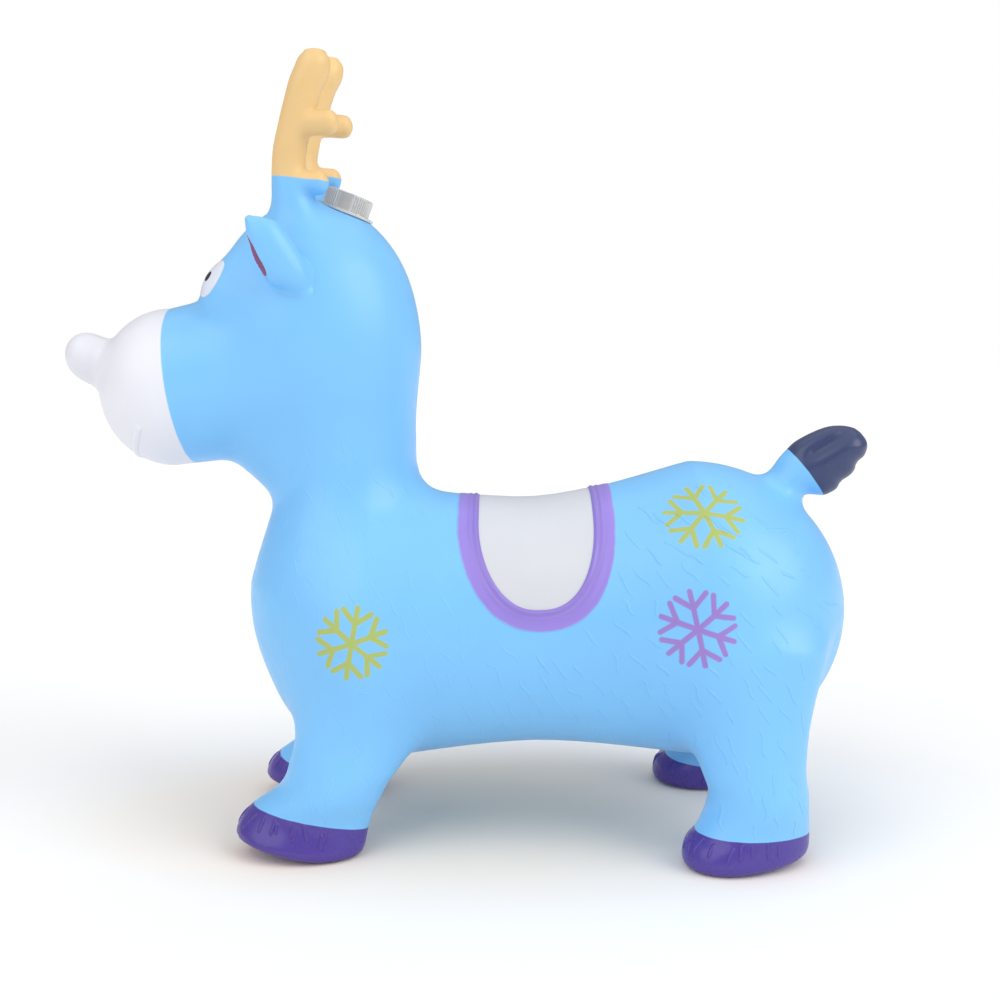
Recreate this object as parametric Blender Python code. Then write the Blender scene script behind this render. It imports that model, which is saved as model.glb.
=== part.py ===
"""Inflatable hopping deer with a light-and-sound capsule, in metres, +Z up, head toward -X."""

import math

import bmesh
import bpy
from mathutils import Matrix, Vector

# Fits shared by the whole assembly
TOUCH_GAP = 0.0003
SLIDE_GAP = 0.0004

# Moulding of the skin
SKIN_WALL = 0.0020
VOXEL_SIZE = 0.0045
SMOOTH_STEPS = 6
DECIMATE_RATIO = 0.045
FORM_SIDES = 32
FORM_STEPS = 5
DOME_STEPS = 6

# Torso
CHEST_X = -0.070
CHEST_Z = 0.1605
CHEST_HALF_WIDTH = 0.098
CHEST_HALF_HEIGHT = 0.1045
CHEST_DOME = 0.0962
WAIST_X = 0.050
WAIST_Z = 0.1580
WAIST_HALF_WIDTH = 0.093
WAIST_HALF_HEIGHT = 0.0935
RUMP_X = 0.165
RUMP_Z = 0.1660
RUMP_HALF_WIDTH = 0.108
RUMP_HALF_HEIGHT = 0.1125
RUMP_DOME = 0.1175

# Neck and head
NECK_X = -0.0920
NECK_FOOT_Z = 0.190
NECK_FOOT_RADIUS = 0.071
NECK_MID_Z = 0.262
NECK_TOP_Z = 0.350
NECK_HALF_DEPTH = 0.0565
NECK_HALF_WIDTH = 0.058
HEAD_X = -0.1150
HEAD_Z = 0.3700
HEAD_HALF_DEPTH = 0.0815
HEAD_HALF_WIDTH = 0.0715
HEAD_HALF_HEIGHT = 0.1015
MUZZLE_ROOT_X = -0.130
MUZZLE_X = -0.2215
MUZZLE_Z = 0.3345
MUZZLE_HALF_WIDTH = 0.062
MUZZLE_HALF_HEIGHT = 0.0590
MUZZLE_DOME = 0.0520
NOSE_X = MUZZLE_X - 0.0523
NOSE_Z = 0.3550
NOSE_HALF_DEPTH = 0.0258
NOSE_HALF_WIDTH = 0.0218
NOSE_HALF_HEIGHT = 0.0192
BROW_X = -0.1670
BROW_Y = 0.0270
BROW_Z = 0.4030
BROW_RADIUS = 0.0242
THROAT_X = -0.1300
THROAT_Z = 0.2950
THROAT_RADIUS = 0.0425

# Legs and hooves
HIP_Z = 0.150
HIP_HALF_WIDTH = 0.050
HIP_HALF_DEPTH = 0.061
KNEE_Z = 0.077
SHIN_Z = 0.0484
FRONT_LEG_HALF_WIDTH = 0.0340
FRONT_KNEE_HALF_DEPTH = 0.0450
FRONT_SHIN_HALF_DEPTH = 0.0410
REAR_LEG_HALF_WIDTH = 0.0360
REAR_KNEE_HALF_DEPTH = 0.0390
REAR_SHIN_HALF_DEPTH = 0.0375
HOOF_Z = 0.025
FRONT_HOOF_HALF_WIDTH = 0.0295
REAR_HOOF_HALF_WIDTH = 0.0305
FRONT_HOOF_HALF_LENGTH = 0.0495
REAR_HOOF_HALF_LENGTH = 0.0465
SOLE_INSET = 0.0070
SOLE_DIP = 0.0060
FRONT_HIP_X = -0.068
FRONT_HIP_Y = 0.050
FRONT_KNEE_X = -0.0810
FRONT_KNEE_Y = 0.059
FRONT_SHIN_X = -0.0993
FRONT_HOOF_X = -0.1210
FRONT_HOOF_Y = 0.0605
FRONT_TOE_IN = 0.08
REAR_HIP_X = 0.200
REAR_HIP_Y = 0.057
REAR_KNEE_X = 0.2040
REAR_KNEE_Y = 0.074
REAR_SHIN_X = 0.2075
REAR_HOOF_X = 0.1980
REAR_HOOF_Y = 0.0810
REAR_TOE_IN = -0.10
TOE_TURN_TOP_Z = 0.060
TOE_TURN_FADE = 0.030

# Antlers
ANTLER_FOOT_X = -0.1190
ANTLER_FOOT_Y = 0.0280
ANTLER_FOOT_Z = 0.4500
ANTLER_FOOT_RADIUS = 0.0180
ANTLER_LOW_X = -0.1240
ANTLER_LOW_Z = 0.4850
ANTLER_MID_X = -0.1195
ANTLER_MID_Z = 0.5200
ANTLER_TOP_X = -0.1075
ANTLER_TOP_Z = 0.5540
ANTLER_TOP_Y = 0.0370
ANTLER_RADIUS = 0.0145
ANTLER_DOME = 0.0160
PRONG_RADIUS = 0.0102
PRONG_DOME = 0.0100
MID_PRONG_X = -0.0985
MID_PRONG_OUT = 0.0080
MID_PRONG_RISE = -0.0010
LOW_PRONG_X = -0.1060
LOW_PRONG_OUT = 0.0060
LOW_PRONG_RISE = -0.0060
RIGHT_ANTLER_RAISE = 0.0100

# Ears
EAR_ROOT_X = -0.1190
EAR_ROOT_Y = 0.0640
EAR_ROOT_Z = 0.4070
EAR_TIP_X = -0.1455
EAR_TIP_Y = 0.0820
EAR_TIP_Z = 0.4470
EAR_HALF_WIDTH = 0.0145
EAR_HALF_THICKNESS = 0.0100
EAR_TURN = math.radians(20.0)

# Tail
TAIL_ROOT_X = 0.2300
TAIL_ROOT_Z = 0.2540
TAIL_TIP_X = 0.2762
TAIL_TIP_Z = 0.2860
TAIL_ROOT_HALF_WIDTH = 0.0200
TAIL_HALF_WIDTH = 0.0235
TAIL_HALF_THICKNESS = 0.0150
TAIL_DOME = 0.0250

# Air valve in the belly
VALVE_X = 0.045
PLUG_HEAD_RADIUS = 0.0110
PLUG_HEAD_THICKNESS = 0.0026
PLUG_SHANK_RADIUS = 0.0042
PLUG_TIP_RADIUS = 0.0036
PLUG_SHANK_LENGTH = 0.0130
PLUG_DIMPLE_RADIUS = 0.0060
PLUG_DIMPLE_DEPTH = 0.0010
VALVE_RECESS_DEPTH = 0.0040
AIR_HOLE_RADIUS = 0.0030

# Capsule seat in the crown
CAPSULE_X = -0.0905
CAPSULE_Z = 0.4600
CAPSULE_TILT = math.radians(20.7)

# Capsule housing and cap
CAPSULE_SEGMENTS = 36
HOUSING_RADIUS = 0.0152
HOUSING_WALL = 0.0016
HOUSING_DEPTH = 0.0250
HOUSING_LEDGE_WIDTH = 0.0012
FLANGE_RADIUS = 0.0215
FLANGE_THICKNESS = 0.0022
HOUSING_NECK_HEIGHT = 0.0090
CAP_WALL = 0.0018
CAP_TOP_THICKNESS = 0.0018
CAP_HEIGHT = 0.0122
CAP_EDGE_ROUND = 0.0018
CAP_DISH_DEPTH = 0.0006
RIB_COUNT = 36
RIB_DEPTH = 0.0005
WINDOW_HALF_ANGLE = math.radians(38.0)
SEAL_HEIGHT = 0.0011
SEAL_WIDTH = 0.0012
GRILLE_HOLE_RADIUS = 0.0011
GRILLE_CIRCLE_RADIUS = 0.0060
GRILLE_HOLE_COUNT = 6

# Electrics inside the housing
PART_SEGMENTS = 24
SPEAKER_HEIGHT = 0.0036
SPEAKER_RIM_WIDTH = 0.0016
SPEAKER_CONE_DEPTH = 0.0016
MAGNET_RADIUS = 0.0070
MAGNET_HEIGHT = 0.0032
MAGNET_CLEARANCE = 0.0010
TRAY_HEIGHT = 0.0062
TRAY_FLOOR = 0.0012
CELL_RADIUS = 0.0039
CELL_HEIGHT = 0.0036
CELL_CIRCLE_RADIUS = 0.0060
CELL_COUNT = 3
CONTACT_RADIUS = 0.0086
CONTACT_THICKNESS = 0.0004
BOARD_THICKNESS = 0.0016
LAMP_RADIUS = 0.0025
LAMP_RIM_RADIUS = 0.0029
LAMP_RIM_HEIGHT = 0.0010
LAMP_HEIGHT = 0.0086
LAMP_CIRCLE_RADIUS = 0.0078
LAMP_COUNT = 3
CHIP_RADIUS = 0.0032
CHIP_HEIGHT = 0.0015
SWITCH_RADIUS = 0.0018
SWITCH_LENGTH = 0.0080
SWITCH_CIRCLE_RADIUS = 0.0082
SCREW_CIRCLE_RADIUS = 0.0108
SCREW_HEAD_RADIUS = 0.0018
SCREW_HEAD_HEIGHT = 0.0013
SCREW_SHANK_RADIUS = 0.0009
SCREW_SHANK_LENGTH = 0.0058
LEAD_RADIUS = 0.0005
LEAD_SPACING = 0.0020
LEAD_NOTCH_HALF_WIDTH = 0.0021

SIDE_Y = Vector((0.0, 1.0, 0.0))
UP_Z = Vector((0.0, 0.0, 1.0))
ALONG_X = Vector((1.0, 0.0, 0.0))


def clear_scene():
    """Remove every object so the build starts from nothing."""
    for item in list(bpy.data.objects):
        bpy.data.objects.remove(item, do_unlink=True)


def make_material(name, colour, roughness, metallic=0.0, alpha=1.0):
    """Return a Principled material of one plain colour."""
    material = bpy.data.materials.new(name)
    material.use_nodes = True
    shader = material.node_tree.nodes["Principled BSDF"]
    shader.inputs["Base Color"].default_value = (*colour, 1.0)
    shader.inputs["Roughness"].default_value = roughness
    shader.inputs["Metallic"].default_value = metallic
    shader.inputs["Alpha"].default_value = alpha
    material.diffuse_color = (*colour, alpha)
    return material


def add_object(name, bm, material, parent=None):
    """Turn a bmesh into a named object with outward faces."""
    bmesh.ops.recalc_face_normals(bm, faces=bm.faces[:])
    mesh = bpy.data.meshes.new(name)
    bm.to_mesh(mesh)
    bm.free()
    item = bpy.data.objects.new(name, mesh)
    bpy.context.collection.objects.link(item)
    item.parent = parent
    if material is not None:
        mesh.materials.append(material)
    return item


def hide_cutter(item):
    """Mark an object as a Boolean tool that is not a piece."""
    item.hide_render = True
    item.display_type = "WIRE"
    return item


def add_boolean(item, tool, operation):
    """Put an exact Boolean of the tool on the object."""
    modifier = item.modifiers.new(tool.name, "BOOLEAN")
    modifier.operation = operation
    modifier.solver = "EXACT"
    modifier.object = tool


def smooth_stations(stations):
    """Run a Catmull-Rom curve through the stations and return the finer list."""
    ends = [stations[0]] + list(stations) + [stations[-1]]
    samples = []
    for index in range(1, len(ends) - 2):
        before, start, end, after = ends[index - 1:index + 3]
        for step in range(FORM_STEPS):
            t = step / FORM_STEPS
            samples.append([
                0.5 * (2 * b + (c - a) * t + (2 * a - 5 * b + 4 * c - d) * t ** 2
                       + (3 * b - a - 3 * c + d) * t ** 3)
                for a, b, c, d in zip(before, start, end, after)
            ])
    samples.append(list(stations[-1]))
    return samples


def add_form(bm, stations, side, up, start_dome, end_dome):
    """Loft ellipses through stations (x, y, z, side radius, up radius) with a dome at each end."""
    samples = [(Vector(row[:3]), row[3], row[4]) for row in smooth_stations(stations)]
    start_way = (samples[0][0] - samples[1][0]).normalized()
    end_way = (samples[-1][0] - samples[-2][0]).normalized()
    rows = []
    for step in range(1, DOME_STEPS):
        angle = 0.5 * math.pi * step / DOME_STEPS
        centre, wide, tall = samples[0]
        scale = math.sin(angle)
        rows.append((centre + start_way * start_dome * math.cos(angle), wide * scale, tall * scale))
    rows.extend(samples)
    for step in range(DOME_STEPS - 1, 0, -1):
        angle = 0.5 * math.pi * step / DOME_STEPS
        centre, wide, tall = samples[-1]
        scale = math.sin(angle)
        rows.append((centre + end_way * end_dome * math.cos(angle), wide * scale, tall * scale))
    rings = []
    for centre, wide, tall in rows:
        ring = []
        for index in range(FORM_SIDES):
            angle = 2.0 * math.pi * index / FORM_SIDES
            ring.append(bm.verts.new(centre + side * wide * math.cos(angle) + up * tall * math.sin(angle)))
        rings.append(ring)
    first = bm.verts.new(samples[0][0] + start_way * start_dome)
    last = bm.verts.new(samples[-1][0] + end_way * end_dome)
    for index in range(FORM_SIDES):
        after = (index + 1) % FORM_SIDES
        for lower, upper in zip(rings, rings[1:]):
            bm.faces.new((lower[index], lower[after], upper[after], upper[index]))
        bm.faces.new((first, rings[0][after], rings[0][index]))
        bm.faces.new((last, rings[-1][index], rings[-1][after]))


def add_ellipsoid(bm, centre, radii):
    """Add one ellipsoid."""
    place = Matrix.Translation(centre) @ Matrix.Diagonal((*radii, 1.0))
    bmesh.ops.create_uvsphere(bm, u_segments=FORM_SIDES, v_segments=FORM_SIDES // 2, radius=1.0, matrix=place)


def add_torso(bm):
    """Chest, waist and rump in one form."""
    stations = [
        (CHEST_X, 0.0, CHEST_Z, CHEST_HALF_WIDTH, CHEST_HALF_HEIGHT),
        (WAIST_X, 0.0, WAIST_Z, WAIST_HALF_WIDTH, WAIST_HALF_HEIGHT),
        (RUMP_X, 0.0, RUMP_Z, RUMP_HALF_WIDTH, RUMP_HALF_HEIGHT),
    ]
    add_form(bm, stations, SIDE_Y, UP_Z, CHEST_DOME, RUMP_DOME)


def add_head(bm):
    """Neck, throat, head, muzzle, nose knob and the two brows."""
    neck = [
        (NECK_X, 0.0, NECK_FOOT_Z, NECK_FOOT_RADIUS, NECK_FOOT_RADIUS),
        (NECK_X, 0.0, NECK_MID_Z, NECK_HALF_WIDTH, NECK_HALF_DEPTH),
        (NECK_X, 0.0, NECK_TOP_Z, NECK_HALF_WIDTH, NECK_HALF_DEPTH),
    ]
    add_form(bm, neck, SIDE_Y, ALONG_X, NECK_HALF_DEPTH, NECK_HALF_DEPTH)
    add_ellipsoid(bm, (HEAD_X, 0.0, HEAD_Z), (HEAD_HALF_DEPTH, HEAD_HALF_WIDTH, HEAD_HALF_HEIGHT))
    muzzle = [
        (MUZZLE_ROOT_X, 0.0, MUZZLE_Z, MUZZLE_HALF_WIDTH, MUZZLE_HALF_HEIGHT),
        (MUZZLE_X, 0.0, MUZZLE_Z, MUZZLE_HALF_WIDTH, MUZZLE_HALF_HEIGHT),
    ]
    add_form(bm, muzzle, SIDE_Y, UP_Z, MUZZLE_DOME, MUZZLE_DOME)
    add_ellipsoid(bm, (NOSE_X, 0.0, NOSE_Z), (NOSE_HALF_DEPTH, NOSE_HALF_WIDTH, NOSE_HALF_HEIGHT))
    add_ellipsoid(bm, (THROAT_X, 0.0, THROAT_Z), (THROAT_RADIUS, THROAT_RADIUS, THROAT_RADIUS))
    for hand in (-1.0, 1.0):
        add_ellipsoid(bm, (BROW_X, hand * BROW_Y, BROW_Z), (BROW_RADIUS, BROW_RADIUS, BROW_RADIUS))


def add_leg(bm, hand, hip, knee, shin, hoof):
    """One leg that flares into a turned hoof and runs a little below the floor for the flat sole."""
    hip_x, hip_y = hip
    knee_x, knee_y, knee_width, knee_depth = knee
    shin_x, shin_depth = shin
    hoof_x, hoof_y, hoof_width, hoof_length, toe_in = hoof
    shin_y = knee_y + 0.6 * (hoof_y - knee_y)
    stations = [
        (hip_x, hand * hip_y, HIP_Z, HIP_HALF_WIDTH, HIP_HALF_DEPTH),
        (knee_x, hand * knee_y, KNEE_Z, knee_width, knee_depth),
        (shin_x, hand * shin_y, SHIN_Z, knee_width, shin_depth),
        (hoof_x, hand * hoof_y, HOOF_Z, hoof_width, hoof_length),
        (hoof_x, hand * hoof_y, 0.4 * HOOF_Z, hoof_width, hoof_length),
        (hoof_x, hand * hoof_y, -SOLE_DIP, hoof_width - SOLE_INSET, hoof_length - SOLE_INSET),
    ]
    first = len(bm.verts)
    add_form(bm, stations, SIDE_Y, ALONG_X, HIP_HALF_WIDTH, SOLE_DIP)
    for vert in list(bm.verts)[first:]:
        share = min(max((TOE_TURN_TOP_Z - vert.co.z) / TOE_TURN_FADE, 0.0), 1.0)
        vert.co.y += hand * toe_in * share * (vert.co.x - hoof_x)


def add_legs(bm, hand):
    """The front and the rear leg of one side."""
    front_knee = (FRONT_KNEE_X, FRONT_KNEE_Y, FRONT_LEG_HALF_WIDTH, FRONT_KNEE_HALF_DEPTH)
    front_shin = (FRONT_SHIN_X, FRONT_SHIN_HALF_DEPTH)
    front_size = (FRONT_HOOF_HALF_WIDTH, FRONT_HOOF_HALF_LENGTH)
    front_hoof = (FRONT_HOOF_X, FRONT_HOOF_Y, *front_size, FRONT_TOE_IN)
    add_leg(bm, hand, (FRONT_HIP_X, FRONT_HIP_Y), front_knee, front_shin, front_hoof)
    rear_knee = (REAR_KNEE_X, REAR_KNEE_Y, REAR_LEG_HALF_WIDTH, REAR_KNEE_HALF_DEPTH)
    rear_shin = (REAR_SHIN_X, REAR_SHIN_HALF_DEPTH)
    rear_size = (REAR_HOOF_HALF_WIDTH, REAR_HOOF_HALF_LENGTH)
    rear_hoof = (REAR_HOOF_X, REAR_HOOF_Y, *rear_size, REAR_TOE_IN)
    add_leg(bm, hand, (REAR_HIP_X, REAR_HIP_Y), rear_knee, rear_shin, rear_hoof)


def add_antler(bm, hand):
    """One antler: a beam with a middle and a low prong that point to the rear."""
    rise = RIGHT_ANTLER_RAISE if hand > 0.0 else 0.0
    low_y = ANTLER_FOOT_Y + 0.2 * (ANTLER_TOP_Y - ANTLER_FOOT_Y)
    mid_y = ANTLER_FOOT_Y + 0.6 * (ANTLER_TOP_Y - ANTLER_FOOT_Y)
    low_z = ANTLER_LOW_Z + rise
    mid_z = ANTLER_MID_Z + rise
    top_z = ANTLER_TOP_Z + rise
    beam = [
        (ANTLER_FOOT_X, hand * ANTLER_FOOT_Y, ANTLER_FOOT_Z, ANTLER_FOOT_RADIUS, ANTLER_FOOT_RADIUS),
        (ANTLER_LOW_X, hand * low_y, low_z, ANTLER_RADIUS, ANTLER_RADIUS),
        (ANTLER_MID_X, hand * mid_y, mid_z, ANTLER_RADIUS, ANTLER_RADIUS),
        (ANTLER_TOP_X, hand * ANTLER_TOP_Y, top_z, ANTLER_RADIUS, ANTLER_RADIUS),
    ]
    add_form(bm, beam, SIDE_Y, ALONG_X, ANTLER_FOOT_RADIUS, ANTLER_DOME)
    middle = [
        (ANTLER_MID_X, hand * mid_y, mid_z, PRONG_RADIUS, PRONG_RADIUS),
        (MID_PRONG_X, hand * (mid_y + MID_PRONG_OUT), mid_z + MID_PRONG_RISE, PRONG_RADIUS, PRONG_RADIUS),
    ]
    add_form(bm, middle, SIDE_Y, UP_Z, PRONG_RADIUS, PRONG_DOME)
    low_prong_z = low_z + LOW_PRONG_RISE
    low = [
        (ANTLER_LOW_X, hand * low_y, low_prong_z, PRONG_RADIUS, PRONG_RADIUS),
        (LOW_PRONG_X, hand * (low_y + LOW_PRONG_OUT), low_prong_z, PRONG_RADIUS, PRONG_RADIUS),
    ]
    add_form(bm, low, SIDE_Y, UP_Z, PRONG_RADIUS, PRONG_DOME)


def add_ear(bm, hand):
    """One leaf-shaped ear that points up and forward, with its broad back to the side."""
    root = Vector((EAR_ROOT_X, hand * EAR_ROOT_Y, EAR_ROOT_Z))
    tip = Vector((EAR_TIP_X, hand * EAR_TIP_Y, EAR_TIP_Z))
    way = (tip - root).normalized()
    back = Vector((math.sin(EAR_TURN), hand * math.cos(EAR_TURN), 0.0))
    back = (back - way * back.dot(way)).normalized()
    across = way.cross(back)
    stations = []
    for share, width, thick in ((0.0, 0.80, 0.9), (0.35, 1.0, 1.0), (0.70, 0.80, 0.9), (1.0, 0.30, 0.5)):
        centre = root.lerp(tip, share)
        stations.append((*centre, EAR_HALF_WIDTH * width, EAR_HALF_THICKNESS * thick))
    add_form(bm, stations, across, back, EAR_HALF_THICKNESS, 0.5 * EAR_HALF_THICKNESS)


def add_tail(bm):
    """The raised leaf-shaped tail."""
    root = Vector((TAIL_ROOT_X, 0.0, TAIL_ROOT_Z))
    tip = Vector((TAIL_TIP_X, 0.0, TAIL_TIP_Z))
    way = (tip - root).normalized()
    up = SIDE_Y.cross(way)
    middle = root.lerp(tip, 0.6)
    stations = [
        (*root, TAIL_HALF_THICKNESS, TAIL_ROOT_HALF_WIDTH),
        (*middle, TAIL_HALF_THICKNESS, TAIL_HALF_WIDTH),
        (*tip, TAIL_HALF_THICKNESS * 0.8, TAIL_HALF_WIDTH * 0.9),
    ]
    add_form(bm, stations, SIDE_Y, up, TAIL_DOME, TAIL_DOME)


def capsule_frame():
    """Return the empty whose Z axis is the capsule axis and whose XY plane is the flange seat."""
    empty = bpy.data.objects.new("capsule_axis", None)
    bpy.context.collection.objects.link(empty)
    empty.location = (CAPSULE_X, 0.0, CAPSULE_Z)
    empty.rotation_euler = (0.0, CAPSULE_TILT, 0.0)
    return empty


def valve_frame():
    """Return the empty on the valve axis, level with the seat of the plug head."""
    empty = bpy.data.objects.new("valve_axis", None)
    bpy.context.collection.objects.link(empty)
    empty.location = (VALVE_X, 0.0, belly_height() + VALVE_RECESS_DEPTH)
    return empty


def belly_height():
    """Height of the belly's lowest line."""
    return WAIST_Z - WAIST_HALF_HEIGHT


def turned(name, profile, material, parent, segments):
    """Turn a (radius, height) profile about the parent's Z axis; a closed profile makes a ring."""
    bm = bmesh.new()
    rows = []
    for radius, height in profile:
        if radius == 0.0:
            rows.append([bm.verts.new((0.0, 0.0, height))])
            continue
        row = []
        for index in range(segments):
            angle = 2.0 * math.pi * index / segments
            row.append(bm.verts.new((radius * math.cos(angle), radius * math.sin(angle), height)))
        rows.append(row)
    closed = profile[0][0] > 0.0
    pairs = list(zip(rows, rows[1:]))
    if closed:
        pairs.append((rows[-1], rows[0]))
    for lower, upper in pairs:
        join_rows(bm, lower, upper)
    return add_object(name, bm, material, parent)


def join_rows(bm, lower, upper):
    """Join two rows of a turned body, either of which may be a single pole."""
    count = max(len(lower), len(upper))
    for index in range(count):
        after = (index + 1) % count
        if len(lower) == 1:
            bm.faces.new((lower[0], upper[after], upper[index]))
        elif len(upper) == 1:
            bm.faces.new((lower[index], lower[after], upper[0]))
        else:
            bm.faces.new((lower[index], lower[after], upper[after], upper[index]))


def cylinder(name, radius, low, high, material, parent, segments=PART_SEGMENTS):
    """A plain cylinder between two heights."""
    profile = [(0.0, low), (radius, low), (radius, high), (0.0, high)]
    return turned(name, profile, material, parent, segments)


def around(radius, degrees):
    """A point on a circle about the parent's Z axis."""
    angle = math.radians(degrees)
    return radius * math.cos(angle), radius * math.sin(angle)


def move_to(item, place):
    """Set an object's place in its parent's XY plane."""
    item.location = (place[0], place[1], item.location[2])
    return item


def build_skin(capsule, valve, vinyl):
    """The hollow moulded skin with the capsule well in the crown and the air hole in the belly."""
    bm = bmesh.new()
    add_torso(bm)
    add_head(bm)
    add_tail(bm)
    for hand in (-1.0, 1.0):
        add_legs(bm, hand)
        add_antler(bm, hand)
        add_ear(bm, hand)
    skin = add_object("skin", bm, vinyl)

    remesh = skin.modifiers.new("join_forms", "REMESH")
    remesh.mode = "VOXEL"
    remesh.voxel_size = VOXEL_SIZE
    smooth = skin.modifiers.new("soften_joins", "SMOOTH")
    smooth.factor = 0.5
    smooth.iterations = SMOOTH_STEPS
    thin = skin.modifiers.new("fewer_faces", "DECIMATE")
    thin.ratio = DECIMATE_RATIO

    floor = bmesh.new()
    bmesh.ops.create_cube(floor, size=1.0, matrix=Matrix.Translation((0.0, 0.0, -0.5)))
    add_boolean(skin, hide_cutter(add_object("floor_cut", floor, None)), "DIFFERENCE")
    pocket_radius = FLANGE_RADIUS + 2.0 * SLIDE_GAP
    well_radius = HOUSING_RADIUS + SLIDE_GAP
    well_floor = -HOUSING_DEPTH - TOUCH_GAP
    well_profile = [
        (0.0, well_floor),
        (well_radius, well_floor),
        (well_radius, 0.0),
        (pocket_radius, 0.0),
        (pocket_radius, HOUSING_DEPTH),
        (0.0, HOUSING_DEPTH),
    ]
    well = turned("well_cut", well_profile, None, capsule, CAPSULE_SEGMENTS)
    add_boolean(skin, hide_cutter(well), "DIFFERENCE")
    recess_radius = PLUG_HEAD_RADIUS + 2.0 * SLIDE_GAP
    sleeve_radius = PLUG_SHANK_RADIUS + SLIDE_GAP
    sleeve_end = PLUG_SHANK_LENGTH + TOUCH_GAP
    sleeve_profile = [
        (0.0, -2.0 * VALVE_RECESS_DEPTH),
        (recess_radius, -2.0 * VALVE_RECESS_DEPTH),
        (recess_radius, 0.0),
        (sleeve_radius, 0.0),
        (sleeve_radius, sleeve_end),
        (0.0, sleeve_end),
    ]
    sleeve = turned("sleeve_cut", sleeve_profile, None, valve, PART_SEGMENTS)
    add_boolean(skin, hide_cutter(sleeve), "DIFFERENCE")
    weld = skin.modifiers.new("merge_slivers", "WELD")
    weld.merge_threshold = 0.0001

    wall = skin.modifiers.new("hollow", "SOLIDIFY")
    wall.thickness = SKIN_WALL
    wall.offset = -1.0
    wall.use_even_offset = True

    hole_low = 0.5 * sleeve_end
    hole_high = sleeve_end + 3.0 * SKIN_WALL
    air_hole = cylinder("air_hole_cut", AIR_HOLE_RADIUS, hole_low, hole_high, None, valve, 14)
    air_hole.rotation_euler = (0.0, 0.0, 0.1)
    add_boolean(skin, hide_cutter(air_hole), "DIFFERENCE")
    return skin


def build_plug(valve, plastic):
    """Push-in air stopper with a dished head and a tapered shank."""
    seat = -TOUCH_GAP
    face = seat - PLUG_HEAD_THICKNESS
    profile = [
        (0.0, face + PLUG_DIMPLE_DEPTH),
        (0.6 * PLUG_DIMPLE_RADIUS, face + PLUG_DIMPLE_DEPTH),
        (PLUG_DIMPLE_RADIUS, face),
        (PLUG_HEAD_RADIUS - 0.3 * PLUG_HEAD_THICKNESS, face),
        (PLUG_HEAD_RADIUS, face + 0.3 * PLUG_HEAD_THICKNESS),
        (PLUG_HEAD_RADIUS, seat),
        (PLUG_SHANK_RADIUS, seat),
        (PLUG_TIP_RADIUS, PLUG_SHANK_LENGTH),
        (0.0, PLUG_SHANK_LENGTH),
    ]
    return turned("air_plug", profile, plastic, valve, PART_SEGMENTS)


def housing_inside():
    """Inner radius of the housing tube."""
    return HOUSING_RADIUS - HOUSING_WALL


def ledge_depth():
    """Depth of the ledge, which leaves room for the speaker and its magnet below the tray."""
    speaker_room = SPEAKER_HEIGHT + MAGNET_HEIGHT + MAGNET_CLEARANCE + 2.0 * TOUCH_GAP
    return HOUSING_DEPTH - HOUSING_WALL - speaker_room


def flange_top():
    """Height of the flange's upper face."""
    return TOUCH_GAP + FLANGE_THICKNESS


def neck_top():
    """Height of the rim that the seal sits on."""
    return flange_top() + HOUSING_NECK_HEIGHT


def build_housing(capsule, clear):
    """Clear tub with its flange, the neck for the cap, an inner ledge and a pierced floor."""
    inside = housing_inside()
    narrow = inside - HOUSING_LEDGE_WIDTH
    floor = -HOUSING_DEPTH + HOUSING_WALL
    ledge = -ledge_depth()
    profile = [
        (0.0, -HOUSING_DEPTH),
        (HOUSING_RADIUS, -HOUSING_DEPTH),
        (HOUSING_RADIUS, TOUCH_GAP),
        (FLANGE_RADIUS, TOUCH_GAP),
        (FLANGE_RADIUS, flange_top()),
        (HOUSING_RADIUS, flange_top()),
        (HOUSING_RADIUS, neck_top()),
        (inside, neck_top()),
        (inside, ledge),
        (narrow, ledge),
        (narrow, floor),
        (0.0, floor),
    ]
    housing = turned("capsule_housing", profile, clear, capsule, CAPSULE_SEGMENTS)
    for index in range(GRILLE_HOLE_COUNT):
        below = -1.5 * HOUSING_DEPTH
        hole = cylinder(f"grille_cut_{index + 1}", GRILLE_HOLE_RADIUS, below, ledge, None, capsule, 12)
        move_to(hole, around(GRILLE_CIRCLE_RADIUS, 360.0 * (index + 0.07) / GRILLE_HOLE_COUNT))
        add_boolean(housing, hide_cutter(hole), "DIFFERENCE")
    return housing


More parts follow.
